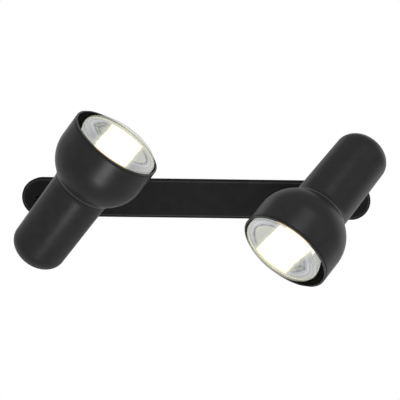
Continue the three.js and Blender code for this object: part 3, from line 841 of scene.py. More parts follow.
@dataclass(frozen=True)
class HotWire(Finish):
    """White-hot coiled wire."""

    wire: Colour
    glow: Colour
    glow_strength: float
    metallic: float = 0.6
    roughness: float = 0.35
    turn_size: float = 0.4 * MM
    turn_roughness: float = 0.1
    turn_dimming: float = 0.9

    def sockets(self, recipe: MaterialRecipe) -> dict[str, Any]:
        """Let the wire glow a little unevenly from turn to turn.

        Args:
            recipe: the material's recipe.

        Returns:
            What each socket holds.
        """
        turns = recipe.noise(recipe.place(), self.turn_size, detail=1.0)
        return {
            "base_color": self.wire,
            "metallic": self.metallic,
            "roughness": self.roughness + self.turn_roughness * turns,
            "emission_color": recipe.blend(turns, self.glow, dimmed(self.glow, self.turn_dimming)),
            "emission_strength": self.glow_strength,
        }


HEAD_COAT = PowderCoat(
    "head_powder_coat",
    deep=(0.0175, 0.0178, 0.0176),
    lifted=(0.0225, 0.0228, 0.0226),
    roughness=0.34,
)
FINISHES: dict[Slot, Finish] = {
    # Its edge marks are a painted highlight line and painted shade along the bar's front edge.
    Slot.BAR_PAINT: PowderCoat(
        "bar_powder_coat",
        deep=(0.0118, 0.0118, 0.0121),
        lifted=(0.016, 0.016, 0.0163),
        roughness=0.62,
        wear_and_light=WearAndLight.BAR_EDGE,
        specular=0.3,
    ),
    Slot.HEAD_PAINT: HEAD_COAT,
    Slot.ZINC: PlatedMetal("zinc_plate", (0.62, 0.64, 0.66), (0.4, 0.42, 0.44), 0.3),
    Slot.NICKEL: PlatedMetal("nickel_plate", (0.68, 0.65, 0.58), (0.5, 0.47, 0.4), 0.22),
    Slot.BRASS: PlatedMetal("plain_brass", (0.72, 0.5, 0.2), (0.46, 0.31, 0.13), 0.28),
    Slot.MOULDING: Moulding("cream_moulding", (0.76, 0.73, 0.65), (0.6, 0.56, 0.47), 0.45),
    Slot.GLASS: BulbGlass(
        "bulb_glass",
        tint=(0.6, 0.6, 0.5),
        rim_glow=(0.43, 0.44, 0.445),
        far_glow=(0.49, 0.49, 0.39),
        clear_share=0.03,
        edge_share=0.42,
        rim_share=0.6,
    ),
    Slot.MIRROR: PlatedMetal("bowl_back", (0.5, 0.5, 0.5), (0.36, 0.36, 0.36), 0.35),
    Slot.VITRITE: Moulding("black_glass", (0.012, 0.012, 0.018), (0.03, 0.03, 0.04), 0.15),
    Slot.SLEEVE: Sleeve("braided_sleeve", (0.72, 0.68, 0.58), (0.36, 0.33, 0.27)),
    Slot.TUNGSTEN: HotWire("hot_tungsten", (0.6, 0.56, 0.5), (1.0, 0.86, 0.6), 3.0),
}
# Its lighter colour carries the painted highlights on the housing's rim crest and above its neck
# crease.
TURNED_COAT = replace(
    HEAD_COAT, name="housing_powder_coat", wear_and_light=WearAndLight.TURNED, wear_and_highlight=(0.085, 0.087, 0.085)
)
INNER_COAT = PowderCoat(
    "inner_matt_black",
    deep=(0.005, 0.005, 0.005),
    lifted=(0.009, 0.009, 0.009),
    roughness=0.85,
    wear_and_light=WearAndLight.NONE,
    spill=(1.0, 0.96, 0.86),
    specular=0.2,
)
# Colours of the painted reflection and of the painted band of light in the lamp's bowl.
BOWL_SILVER = SilverMirror(
    "bowl_silver",
    cool=(0.42, 0.43, 0.437),
    pale=(0.56, 0.57, 0.53),
    olive=(0.31, 0.325, 0.29),
    lilac=(0.53, 0.54, 0.575),
    dark=(0.13, 0.145, 0.19),
    band=(1.0, 0.97, 0.9),
    fringe=(1.0, 0.9, 0.55),
    halo=(0.68, 0.69, 0.63),
    glow_strength=1.35,
)


class PaintShop:
    """Holds every finish of the light once and dresses pieces with them."""

    def __init__(self) -> None:
        """Build each material."""
        self.materials = {slot: finish.material() for slot, finish in FINISHES.items()}
        self.housing = TURNED_COAT.material()
        self.inside = INNER_COAT.material()
        self.silver = BOWL_SILVER.material()

    def dress(self, piece: Piece, slot: Slot) -> None:
        """Give a piece one finish all over."""
        self.coat(piece, self.materials[slot])

    @staticmethod
    def coat(piece: Piece, *materials: bpy.types.Material) -> None:
        """Give a piece these materials in place of those that it has.

        Args:
            piece: the piece.
            materials: its new materials, in the order of its faces' numbers.
        """
        piece.data.materials.clear()
        for material in materials:
            piece.data.materials.append(material)


@dataclass
class Profile:
    """An outline beside an axis, in (radius, height) pairs, drawn stretch by stretch."""

    points: list[Point] = field(default_factory=list)

    def to(self, *points: Point) -> "Profile":
        """Go straight on to each point in turn."""
        self.points.extend(points)
        return self

    def arc(self, centre: Point, reach: Point, start: float, end: float, steps: int) -> "Profile":
        """Go round part of an ellipse.

        Args:
            centre: its centre.
            reach: its half sizes along the radius and the height.
            start: first angle in radians, from the radius towards the height.
            end: last angle.
            steps: number of straight steps.

        Returns:
            The same profile.
        """
        for index in range(steps + 1):
            angle = start + (end - start) * index / steps
            radius = centre[0] + reach[0] * math.cos(angle)
            self.points.append((radius, centre[1] + reach[1] * math.sin(angle)))
        return self

    def bend(self, handles: Sequence[Point], end: Point, steps: int) -> "Profile":
        """Go on along a curve from the last point.

        Args:
            handles: one or two points that pull the curve.
            end: where the curve ends.
            steps: number of straight steps.

        Returns:
            The same profile.
        """
        poles = [Vector(self.points[-1]), *(Vector(handle) for handle in handles), Vector(end)]
        for index in range(1, steps + 1):
            share = index / steps
            layer = poles
            while len(layer) > 1:
                layer = [first.lerp(second, share) for first, second in zip(layer, layer[1:])]
            self.points.append((layer[0].x, layer[0].y))
        return self

    def inset(self, distance: float) -> "Profile":
        """Copy of the outline, moved to the right of its way.

        Args:
            distance: how far each point moves.

        Returns:
            The moved profile, whose points on the axis stay on it.
        """
        moved = []
        last = len(self.points) - 1
        for index, (radius, height) in enumerate(self.points):
            before = Vector(self.points[max(index - 1, 0)])
            after = Vector(self.points[min(index + 1, last)])
            way = (after - before).normalized()
            if radius < MERGE_DISTANCE:
                moved.append((0.0, height - math.copysign(distance, way.x)))
            else:
                moved.append((radius + way.y * distance, height - way.x * distance))
        return Profile(moved)

    def reversed(self) -> "Profile":
        """Copy of the outline, drawn the other way."""
        return Profile(self.points[::-1])

    def joined(self, other: "Profile") -> "Profile":
        """Copy of the outline with another one added at its end."""
        return Profile(self.points + other.points)

    def closed(self) -> "Profile":
        """Copy of the outline that ends where it starts."""
        return Profile([*self.points, self.points[0]])


def select_only(piece: Piece) -> None:
    """Select one piece and nothing else.

    Args:
        piece: the piece.
    """
    bpy.ops.object.select_all(action="DESELECT")
    piece.select_set(True)
    bpy.context.view_layer.objects.active = piece


@contextmanager
def editing(piece: Piece) -> Iterator[None]:
    """Open one piece in edit mode with nothing selected, and close it afterwards.

    Args:
        piece: the piece to open.

    Yields:
        Nothing.
    """
    select_only(piece)
    bpy.ops.object.mode_set(mode="EDIT")
    bpy.ops.mesh.select_mode(type=Element.VERTEX.value)
    bpy.ops.mesh.select_all(action="DESELECT")
    yield
    bpy.ops.object.mode_set(mode="OBJECT")


def pick(piece: Piece, element: Element, test: Callable[[Any], bool]) -> None:
    """Select elements of the open piece by their place or normal.

    Args:
        piece: the piece that is open in edit mode.
        element: what to select.
        test: says whether one vertex, edge or face is wanted.
    """
    bpy.ops.mesh.select_mode(type=element.value)
    bpy.ops.mesh.select_all(action="DESELECT")
    shape = bmesh.from_edit_mesh(piece.data)
    parts = {Element.VERTEX: shape.verts, Element.EDGE: shape.edges, Element.FACE: shape.faces}
    for part in parts[element]:
        if test(part):
            part.select_set(True)
    bmesh.update_edit_mesh(piece.data)


def tidy_normals() -> None:
    """Merge doubles of the open piece and turn its faces outwards."""
    bpy.ops.mesh.select_all(action="SELECT")
    bpy.ops.mesh.remove_doubles(threshold=MERGE_DISTANCE)
    bpy.ops.mesh.dissolve_degenerate(threshold=MERGE_DISTANCE)
    bpy.ops.mesh.select_all(action="SELECT")
    bpy.ops.mesh.normals_make_consistent(inside=False)


def stock(name: str, add: Callable[..., Any], **settings: Any) -> Piece:
    """Add one of Blender's own forms to work from.

    Args:
        name: the form's name.
        add: the operator that adds it.
        settings: its size, place and the like.

    Returns:
        The form, with its place in its mesh and its object at the origin.
    """
    bpy.ops.object.select_all(action="DESELECT")
    add(**settings)
    made = bpy.context.object
    made.name = name
    bpy.ops.object.transform_apply(location=True, rotation=True, scale=True)
    return made


def turned(name: str, profile: Profile, steps: int) -> Piece:
    """Draw an outline point by point and spin it about the z axis.

    Args:
        name: the piece's name.
        profile: the outline, from axis to axis or closed.
        steps: number of facets round the axis.

    Returns:
        The turned piece at the origin.
    """
    piece = stock(name, bpy.ops.mesh.primitive_plane_add, size=MM)
    with editing(piece):
        bpy.ops.mesh.select_all(action="SELECT")
        bpy.ops.mesh.merge(type="CENTER")
        here = Vector((0.0, 0.0))
        for index, spot in enumerate(profile.points):
            move = Vector(spot) - here
            way = {"value": (move.x, 0.0, move.y)}
            if index:
                bpy.ops.mesh.extrude_region_move(TRANSFORM_OT_translate=way)
            else:
                bpy.ops.transform.translate(**way)
            here = Vector(spot)
        bpy.ops.mesh.select_all(action="SELECT")
        bpy.ops.mesh.spin(steps=steps, angle=FULL_TURN, center=(0, 0, 0), axis=(0, 0, 1))
        tidy_normals()
    return piece


def rod(name: str, radius: float, low: float, high: float, steps: int = 48) -> Piece:
    """A plain round rod along z, as stock for a cut or a join.

    Args:
        name: the rod's name.
        radius: its radius.
        low: its lower end.
        high: its upper end.
        steps: number of facets.

    Returns:
        The rod.
    """
    return turned(name, Profile().to((0.0, low), (radius, low), (radius, high), (0.0, high)), steps)


def block(name: str, low: Sequence[float], high: Sequence[float]) -> Piece:
    """A plain block, as stock for a cut or a join.

    Args:
        name: the block's name.
        low: its lowest corner.
        high: its highest corner.

    Returns:
        The block.
    """
    centre = (Vector(low) + Vector(high)) / 2
    size = Vector(high) - Vector(low)
    return stock(name, bpy.ops.mesh.primitive_cube_add, size=1.0, location=centre, scale=size)


def apply_modifier(piece: Piece, kind: str, **settings: Any) -> None:
    """Add a modifier to a piece, set it and apply it.

    Args:
        piece: the piece.
        kind: the modifier's type name.
        settings: its properties.
    """
    select_only(piece)
    modifier = piece.modifiers.new(kind.lower(), kind)
    for name, setting in settings.items():
        setattr(modifier, name, setting)
    bpy.ops.object.modifier_apply(modifier=modifier.name)


def combine(piece: Piece, tool: Piece, how: Join) -> None:
    """Join a second form to a piece or cut with it, and use the second form up.

    Args:
        piece: the piece that stays.
        tool: the form that is used up.
        how: whether it is added, cut away or kept in common.
    """
    apply_modifier(piece, "BOOLEAN", operation=how.value, solver="EXACT", object=tool)
    bpy.data.objects.remove(tool, do_unlink=True)


def chart(piece: Piece, name: str, spot: Callable[[Vector], Point]) -> None:
    """Give a piece a map of its own.

    Args:
        piece: the piece.
        name: the map's name.
        spot: the place on the map of a place on the piece.
    """
    layer = piece.data.uv_layers.new(name=name)
    for loop in piece.data.loops:
        layer.data[loop.index].uv = spot(piece.data.vertices[loop.vertex_index].co)


def place(piece: Piece, frame: Matrix) -> None:
    """Move a piece from its own frame to the light's, and leave its object at the origin.

    Args:
        piece: the piece.
        frame: its own frame, as seen in the light's.
    """
    piece.matrix_world = frame
    select_only(piece)
    bpy.ops.object.transform_apply(location=True, rotation=True, scale=True)


def smooth(piece: Piece, angle: float = 32.0) -> None:
    """Shade a piece smooth, with its edges sharp above an angle in degrees."""
    select_only(piece)
    bpy.ops.object.shade_smooth_by_angle(angle=math.radians(angle))


def cast(piece: Piece, voxel: float, passes: int) -> None:
    """Melt the corners of joined forms together, as a casting has them.

    Args:
        piece: the piece.
        voxel: size of the new mesh's cells.
        passes: how often the corners are softened.
    """
    apply_modifier(piece, "REMESH", mode="VOXEL", voxel_size=voxel, adaptivity=0.0)
    apply_modifier(piece, "SMOOTH", factor=0.5, iterations=passes)
    select_only(piece)
    bpy.ops.object.shade_smooth()


def turned_frame(origin: Vector, x_axis: Vector, y_axis: Vector, z_axis: Vector) -> Matrix:
    """Frame with these axes at this origin.

    Args:
        origin: the frame's origin.
        x_axis: its x axis.
        y_axis: its y axis.
        z_axis: its z axis.

    Returns:
        The frame as a matrix.
    """
    turn = Matrix((x_axis, y_axis, z_axis)).transposed().to_4x4()
    return Matrix.Translation(origin) @ turn


def shift(x: float = 0.0, y: float = 0.0, z: float = 0.0) -> Matrix:
    """A move as a matrix."""
    return Matrix.Translation((x, y, z))


def turn_about(axis: str, angle: float = QUARTER_TURN) -> Matrix:
    """A turn about one axis as a matrix, a quarter turn unless told otherwise."""
    return Matrix.Rotation(angle, 4, axis)


@dataclass(frozen=True)
class Aim:
    """How one head leans away from the wall, in degrees, and where its lamp's own light falls."""

    tilt: float
    band_shift: float
    spill_place: float


AIMS: dict[Side, Aim] = {
    Side.LEFT: Aim(18.76, band_shift=3.5 * MM, spill_place=5.3 * MM),
    Side.RIGHT: Aim(28.74, band_shift=6.6 * MM, spill_place=10.5 * MM),
}


@dataclass(frozen=True)
class Station:
    """Where one spotlight stands and which way its head points."""

    side: Side
    pivot: Vector
    knuckle: Vector
    tilt_axis: Vector
    aim: Aim
    head_offset: float = 46 * MM
    rim_reach: float = 93.66 * MM

    @classmethod
    def of(cls, side: Side, joints: Sequence[dict[str, Any]]) -> "Station":
        """Read a station from the frame's joints.

        Args:
            side: which spotlight.
            joints: the frame's joints.

        Returns:
            The station.
        """
        named = {joint["name"]: joint for joint in joints}
        turn = named[f"{side.value}_turn"]
        tilt = named[f"{side.value}_tilt"]
        axis = Vector(tilt["axis"]).normalized()
        return cls(side, Vector(turn["pos_m"]), Vector(tilt["pos_m"]), axis, AIMS[side])

    @property
    def tilt(self) -> float:
        """How far the head leans away from the wall, in radians."""
        return math.radians(self.aim.tilt)

    @property
    def along_wall(self) -> Vector:
        """Direction of the head's axis as seen square to the wall."""
        return Vector((-self.tilt_axis.z, 0.0, self.tilt_axis.x))

    @property
    def axis(self) -> Vector:
        """Direction of the head's axis, towards its opening."""
        return math.cos(self.tilt) * self.along_wall + math.sin(self.tilt) * OUTWARDS

    @property
    def lift(self) -> Vector:
        """Direction from the knuckle to the head's axis."""
        return math.cos(self.tilt) * OUTWARDS - math.sin(self.tilt) * self.along_wall

    def pivot_frame(self) -> Matrix:
        """Frame at the pivot on the wall, z out of the wall and y along the knuckle screw."""
        return turned_frame(self.pivot, self.along_wall, -self.tilt_axis, OUTWARDS)

    def arm_frame(self) -> Matrix:
        """Frame at the knuckle, x along the head's axis and z towards it."""
        return turned_frame(self.knuckle, self.axis, -self.tilt_axis, self.lift)

    def rim_frame(self) -> Matrix:
        """Frame at the centre of the head's rim, z out of its opening."""
        rim = self.knuckle + self.head_offset * self.lift + self.rim_reach * self.axis
        return turned_frame(rim, self.lift, self.tilt_axis, self.axis)


@dataclass
class Assembly:
    """A sub-assembly of the light, which dresses its pieces and fits them to bodies."""

    shop: PaintShop

    def fit(self, piece: Piece, body: str, slot: Slot, *nodes: str) -> None:
        """Let a dressed piece ride on its body in place of the CAD nodes that it stands for.

        Args:
            piece: the finished piece.
            body: the CAD body that it moves with.
            slot: its finish in the record.
            nodes: the CAD nodes that it replaces.
        """
        if not piece.data.materials:
            self.shop.dress(piece, slot)
        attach(piece, body)
        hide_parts(*nodes)
        LOG.info("%s rides on %s with %d faces", piece.name, body, len(piece.data.polygons))


@dataclass
class Fasteners:
    """Screws and nuts, which every other sub-assembly shares."""

    thread_depth: float = 0.28 * MM
    thread_pitch: float = 0.8 * MM
    thread_crest_share: float = 0.62
    head_edge: float = 0.1 * MM
    head_steps: int = 14
    recess_share: float = 0.5
    recess_width_share: float = 0.17
    recess_depth_share: float = 0.62
    screw_steps: int = 40
    hexagon: int = 6
    chamfer_share: float = 0.9
    chamfer_slope: float = math.radians(30.0)
    chamfer_steps: int = 60
    nut_corner: float = 25.0

    def threaded(self, radius: float, low: float, high: float) -> Profile:
        """Outline of a threaded shank from its tip up.

        Args:
            radius: the thread's outer radius.
            low: height of the tip.
            high: height of the shank's end.

        Returns:
            The outline from the axis at the tip.
        """
        outline = Profile().to((0.0, low), (radius - self.thread_depth, low))
        turns = int((high - low) / self.thread_pitch)
        for index in range(turns):
            height = low + index * self.thread_pitch
            root = (radius - self.thread_depth, height + self.thread_pitch / 4)
            crest = (radius, height + self.thread_pitch / 2)
            outline.to(root, crest, (radius, height + self.thread_crest_share * self.thread_pitch))
        return outline.to((radius - self.thread_depth, high))

    def pan_screw(
        self, name: str, radius: float, length: float, head: float, height: float
    ) -> Piece:
        """A pan-head screw with a cross recess, its head from z = 0 up.

        Args:
            name: the screw's name.
            radius: radius of its shank.
            length: length of its shank.
            head: radius of its head.
            height: height of its head.

        Returns:
            The screw.
        """
        edge = height / 3
        outline = self.threaded(radius, -length, 0.0)
        outline.to((head - self.head_edge, 0.0), (head, self.head_edge))
        outline.arc((0.0, edge), (head, height - edge), 0.0, QUARTER_TURN, self.head_steps)
        screw = turned(name, outline, self.screw_steps)
        reach = head * self.recess_share
        half = head * self.recess_width_share
        depth = height * self.recess_depth_share
        for size in ((reach, half), (half, reach)):
            low = (-size[0], -size[1], height - depth)
            wing = block("recess_wing", low, (size[0], size[1], 2 * height))
            combine(screw, wing, Join.CUT)
        smooth(screw)
        return screw

    def hex_nut(self, name: str, flats: float, bore: float, low: float, high: float) -> Piece:
        """A hexagon nut with chamfered corners, its axis along z.

        Args:
            name: the nut's name.
            flats: width across its flats.
            bore: radius of its bore.
            low: its lower face.
            high: its upper face.

        Returns:
            The nut.
        """
        corner = flats / math.sqrt(3)
        chamfer = (corner - flats / 2) * self.chamfer_share
        nut = stock(
            name,
            bpy.ops.mesh.primitive_cylinder_add,
            vertices=self.hexagon,
            radius=corner,
            depth=high - low,
            location=(0.0, 0.0, (low + high) / 2),
            rotation=(0.0, 0.0, QUARTER_TURN),
        )
        waist = 2 * chamfer * math.tan(self.chamfer_slope)
        envelope = Profile().to((0.0, low), (corner - 2 * chamfer, low), (corner, low + waist))
        envelope.to((corner, high - waist), (corner - 2 * chamfer, high), (0.0, high))
        combine(nut, turned("nut_chamfer", envelope, self.chamfer_steps), Join.KEEP)
        combine(nut, rod("nut_bore", bore, low - MM, high + MM), Join.CUT)
        smooth(nut, self.nut_corner)
        return nut


@dataclass
class WallBar(Assembly):
    """The painted obround bar with its two front screws."""

    screws: Fasteners
    length: float = 362.9 * MM
    width: float = 40 * MM
    depth: float = 22 * MM
    wall: float = 1.2 * MM
    edge_radius: float = 3 * MM
    edge_steps: int = 8
    round_steps: int = 128
    flat_margin: float = 0.5 * MM
    sharp_corner: float = 24.0
    pivot_hole_radius: float = 5.35 * MM
    screw_inset: float = 16 * MM
    screw_hole_radius: float = 2.2 * MM
    screw_radius: float = 1.9 * MM
    screw_length: float = 8 * MM
    screw_head_radius: float = 4 * MM
    screw_head_height: float = 2.2 * MM
    screw_turns: tuple[float, float] = (23.0, -46.0)
    seat_gap: float = 0.3 * MM

    def build(self, pivots: Sequence[float]) -> None:
        """Make the bar and its screws.

        Args:
            pivots: place along the bar of each swivel.
        """
        ends = [side * (self.length / 2 - self.screw_inset) for side in (-1, 1)]
        bar = self._shell()
        for spot in pivots:
            self._bore(bar, spot, self.pivot_hole_radius)
        for spot in ends:
            self._bore(bar, spot, self.screw_hole_radius)
        smooth(bar, self.sharp_corner)
        self.fit(bar, "wall_mount", Slot.BAR_PAINT, "wall_bar")
        for side, spot, angle in zip(Side, ends, self.screw_turns):
            self._screw(side, spot, angle)

    def _shell(self) -> Piece:
        """The bar's shell: round ends, a rounded front edge, one wall thick and open at the back.

        Returns:
            The shell.
        """
        half_step = math.pi / self.round_steps
        bar = stock(
            "wall_bar_finished",
            bpy.ops.mesh.primitive_circle_add,
            vertices=self.round_steps,
            radius=self.width / 2 / math.cos(half_step),
            fill_type="NGON",
            rotation=(QUARTER_TURN, 0.0, 0.0),
        )
        reach = (self.length - self.width) / 2
        front = -self.depth + MERGE_DISTANCE
        with editing(bar):
            bpy.ops.mesh.select_all(action="SELECT")
            bpy.ops.transform.rotate(
                value=half_step, orient_axis="Y", center_override=(0.0, 0.0, 0.0)
            )
            for side in (-1, 1):
                pick(bar, Element.VERTEX, lambda vertex, side=side: side * vertex.co.x > 0)
                bpy.ops.transform.translate(value=(side * reach, 0.0, 0.0))
            bpy.ops.mesh.select_all(action="SELECT")
            outwards = {"value": self.depth * OUTWARDS}
            bpy.ops.mesh.extrude_region_move(TRANSFORM_OT_translate=outwards)
            tidy_normals()
            pick(bar, Element.EDGE, lambda edge: all(end.co.y < front for end in edge.verts))
            bpy.ops.mesh.bevel(offset=self.edge_radius, segments=self.edge_steps, affect="EDGES")
            pick(bar, Element.FACE, lambda face: self._in_front(face, front))
            bpy.ops.mesh.inset(thickness=self.flat_margin, depth=0.0)
            pick(bar, Element.FACE, lambda face: face.normal.y > SQUARE_ON)
            bpy.ops.mesh.delete(type="FACE")
        apply_modifier(bar, "SOLIDIFY", thickness=self.wall, offset=-1.0, use_even_offset=True)
        return bar

    @staticmethod
    def _in_front(face: bmesh.types.BMFace, front: float) -> bool:
        """Whether a face lies flat in the bar's front."""
        return face.calc_center_median().y < front and face.normal.y < -SQUARE_ON

    def _bore(self, bar: Piece, spot: float, radius: float) -> None:
        """Cut a round hole through the bar's front.

        Args:
            bar: the bar's shell.
            spot: the hole's place along the bar.
            radius: the hole's radius.
        """
        drill = rod("drill", radius, self.depth - 2 * self.wall, self.depth + self.wall)
        place(drill, shift(x=spot) @ turn_about("X"))
        combine(bar, drill, Join.CUT)

    def _screw(self, side: Side, spot: float, angle: float) -> None:
        """Make one of the screws that hold the bar on its strap.

        Args:
            side: the end of the bar.
            spot: its place along the bar.
            angle: how far its recess is turned, in degrees.
        """
        screw = self.screws.pan_screw(
            f"bar_screw_{side.value}_finished",
            self.screw_radius,
            self.screw_length,
            self.screw_head_radius,
            self.screw_head_height,
        )
        seat = shift(x=spot, y=-self.depth - self.seat_gap)
        place(screw, seat @ turn_about("X") @ turn_about("Z", math.radians(angle)))
        self.fit(screw, "wall_mount", Slot.BAR_PAINT, f"bar_screw_{side.value}")


@dataclass
class Knuckle(Assembly):
    """The swivel on the bar, the arm on the head and the clamp screw between them."""

    screws: Fasteners
    wall_gap: float = 22.3 * MM
    nipple_tip: float = 11.8 * MM
    nipple_radius: float = 5 * MM
    flange_radius: float = 12 * MM
    flange_thickness: float = 3 * MM
    flange_steps: int = 6
    root_radius: float = 1.1 * MM
    column_radius: float = 8 * MM
    column_steps: int = 80
    bore_radius: float = 2.75 * MM
    bore_stop: float = 10.8 * MM
    knuckle_height: float = 42 * MM
    barrel_radius: float = 9 * MM
    barrel_half: float = 8 * MM
    barrel_chamfer: float = 1 * MM
    barrel_steps: int = 64
    face_gap: float = 0.55 * MM
    seat_gap: float = 0.3 * MM
    screw_radius: float = 2 * MM
    screw_head_radius: float = 3.8 * MM
    screw_head_height: float = 2.4 * MM
    screw_end: float = 1.2 * MM
    nut_flats: float = 7 * MM
    nut_height: float = 3.2 * MM
    head_offset: float = 46 * MM
    saddle_radius: float = 29.25 * MM
    saddle_steps: int = 128
    arm_nipple_radius: float = 4.75 * MM
    arm_nipple_root: float = 13.5 * MM
    arm_nipple_reach: float = 25.5 * MM
    voxel: float = 0.42 * MM
    soft_passes: int = 5

    def build(self, station: Station) -> None:
        """Make the knuckle of one spotlight.

        Args:
            station: where the spotlight stands.
        """
        side = station.side.value
        swivel = self._swivel(f"{side}_swivel_finished")
        place(swivel, station.pivot_frame())
        self.fit(swivel, f"{side}_pivot", Slot.HEAD_PAINT, f"{side}_swivel")
        arm = self._arm(f"{side}_head_arm_finished")
        place(arm, station.arm_frame())
        self.fit(arm, f"{side}_head", Slot.HEAD_PAINT, f"{side}_head_arm")
        across = station.pivot_frame() @ shift(z=self.knuckle_height)
        self._clamp(side, across @ turn_about("X"))

    def _barrel_half(self, name: str) -> Piece:
        """One half of the barrel on the side of +y, about the y axis.

        Args:
            name: its name.

        Returns:
            The barrel half.
        """
        bore = self.screw_radius + self.seat_gap
        step = self.barrel_radius - self.barrel_chamfer
        outline = Profile().to((bore, self.face_gap), (self.barrel_radius, self.face_gap))
        outline.to((self.barrel_radius, self.barrel_half - self.barrel_chamfer))
        outline.to((step, self.barrel_half), (bore, self.barrel_half))
        half = turned(name, outline.closed(), self.barrel_steps)
        place(half, turn_about("X", -QUARTER_TURN))
        return half

    def _beside(self) -> Piece:
        """The room beside a column that the other half of the barrel turns in.

        Returns:
            The room as a block.
        """
        wide = 2 * self.column_radius
        step = -self.barrel_radius - self.seat_gap
        return block("beside", (-wide, -wide, step), (wide, self.face_gap, wide))

    def _swivel(self, name: str) -> Piece:
        """The swivel in its pivot's frame: nipple, flange, column and barrel half.

        Args:
            name: its name.

        Returns:
            The swivel.
        """
        front = self.wall_gap + self.flange_thickness
        radius = self.flange_radius
        soft = self.root_radius
        around = (soft, soft)
        outline = Profile().to((0.0, self.nipple_tip), (self.nipple_radius, self.nipple_tip))
        outline.to((self.nipple_radius, self.wall_gap), (radius, self.wall_gap))
        outline.arc((radius - soft, front - soft), around, 0.0, QUARTER_TURN, self.flange_steps)
        root = (self.column_radius + soft, front + soft)
        outline.arc(root, around, -QUARTER_TURN, -math.pi, self.flange_steps)
        outline.to((self.column_radius, self.knuckle_height), (0.0, self.knuckle_height))
        swivel = turned(name, outline, self.column_steps)
        lift = shift(z=self.knuckle_height)
        room = self._beside()
        place(room, lift)
        combine(swivel, room, Join.CUT)
        half = self._barrel_half("swivel_barrel")
        place(half, lift)
        combine(swivel, half, Join.ADD)
        bore = rod("swivel_bore", self.bore_radius, 0.0, self.knuckle_height - self.bore_stop)
        combine(swivel, bore, Join.CUT)
        cast(swivel, self.voxel, self.soft_passes)
        return swivel

    def _arm(self, name: str) -> Piece:
        """The arm in its knuckle's frame: barrel half, column, saddle and nipple.

        Args:
            name: its name.

        Returns:
            The arm.
        """
        foot = self.head_offset - self.saddle_radius / 2
        arm = rod(name, self.column_radius, -foot, 0.0, self.column_steps)
        combine(arm, self._beside(), Join.CUT)
        combine(arm, self._barrel_half("arm_barrel"), Join.ADD)
        reach = self.head_offset
        saddle = rod("saddle", self.saddle_radius, -reach, reach, self.saddle_steps)
        place(saddle, shift(z=-reach) @ turn_about("Y"))
        combine(arm, saddle, Join.CUT)
        tip, root = -self.arm_nipple_reach, -self.arm_nipple_root
        nipple = rod("arm_nipple", self.arm_nipple_radius, tip, root)
        combine(arm, nipple, Join.ADD)
        cast(arm, self.voxel, self.soft_passes)
        place(arm, turn_about("X", math.pi))
        return arm

    def _clamp(self, side: str, across: Matrix) -> None:
        """Make the clamp screw and its nut.

        Args:
            side: which spotlight.
            across: frame at the knuckle whose z axis runs along the screw, towards its head.
        """
        seat = self.barrel_half + self.seat_gap
        length = 2 * seat + self.nut_height + self.screw_end
        screw = self.screws.pan_screw(
            f"{side}_knuckle_screw_finished",
            self.screw_radius,
            length,
            self.screw_head_radius,
            self.screw_head_height,
        )
        place(screw, across @ shift(z=seat))
        self.fit(screw, f"{side}_pivot", Slot.ZINC, f"{side}_knuckle_screw")
        bore = self.screw_radius + self.seat_gap
        low = -seat - self.nut_height
        nut = self.screws.hex_nut(f"{side}_knuckle_nut_finished", self.nut_flats, bore, low, -seat)
        place(nut, across)
        self.fit(nut, f"{side}_pivot", Slot.ZINC, f"{side}_knuckle_nut")


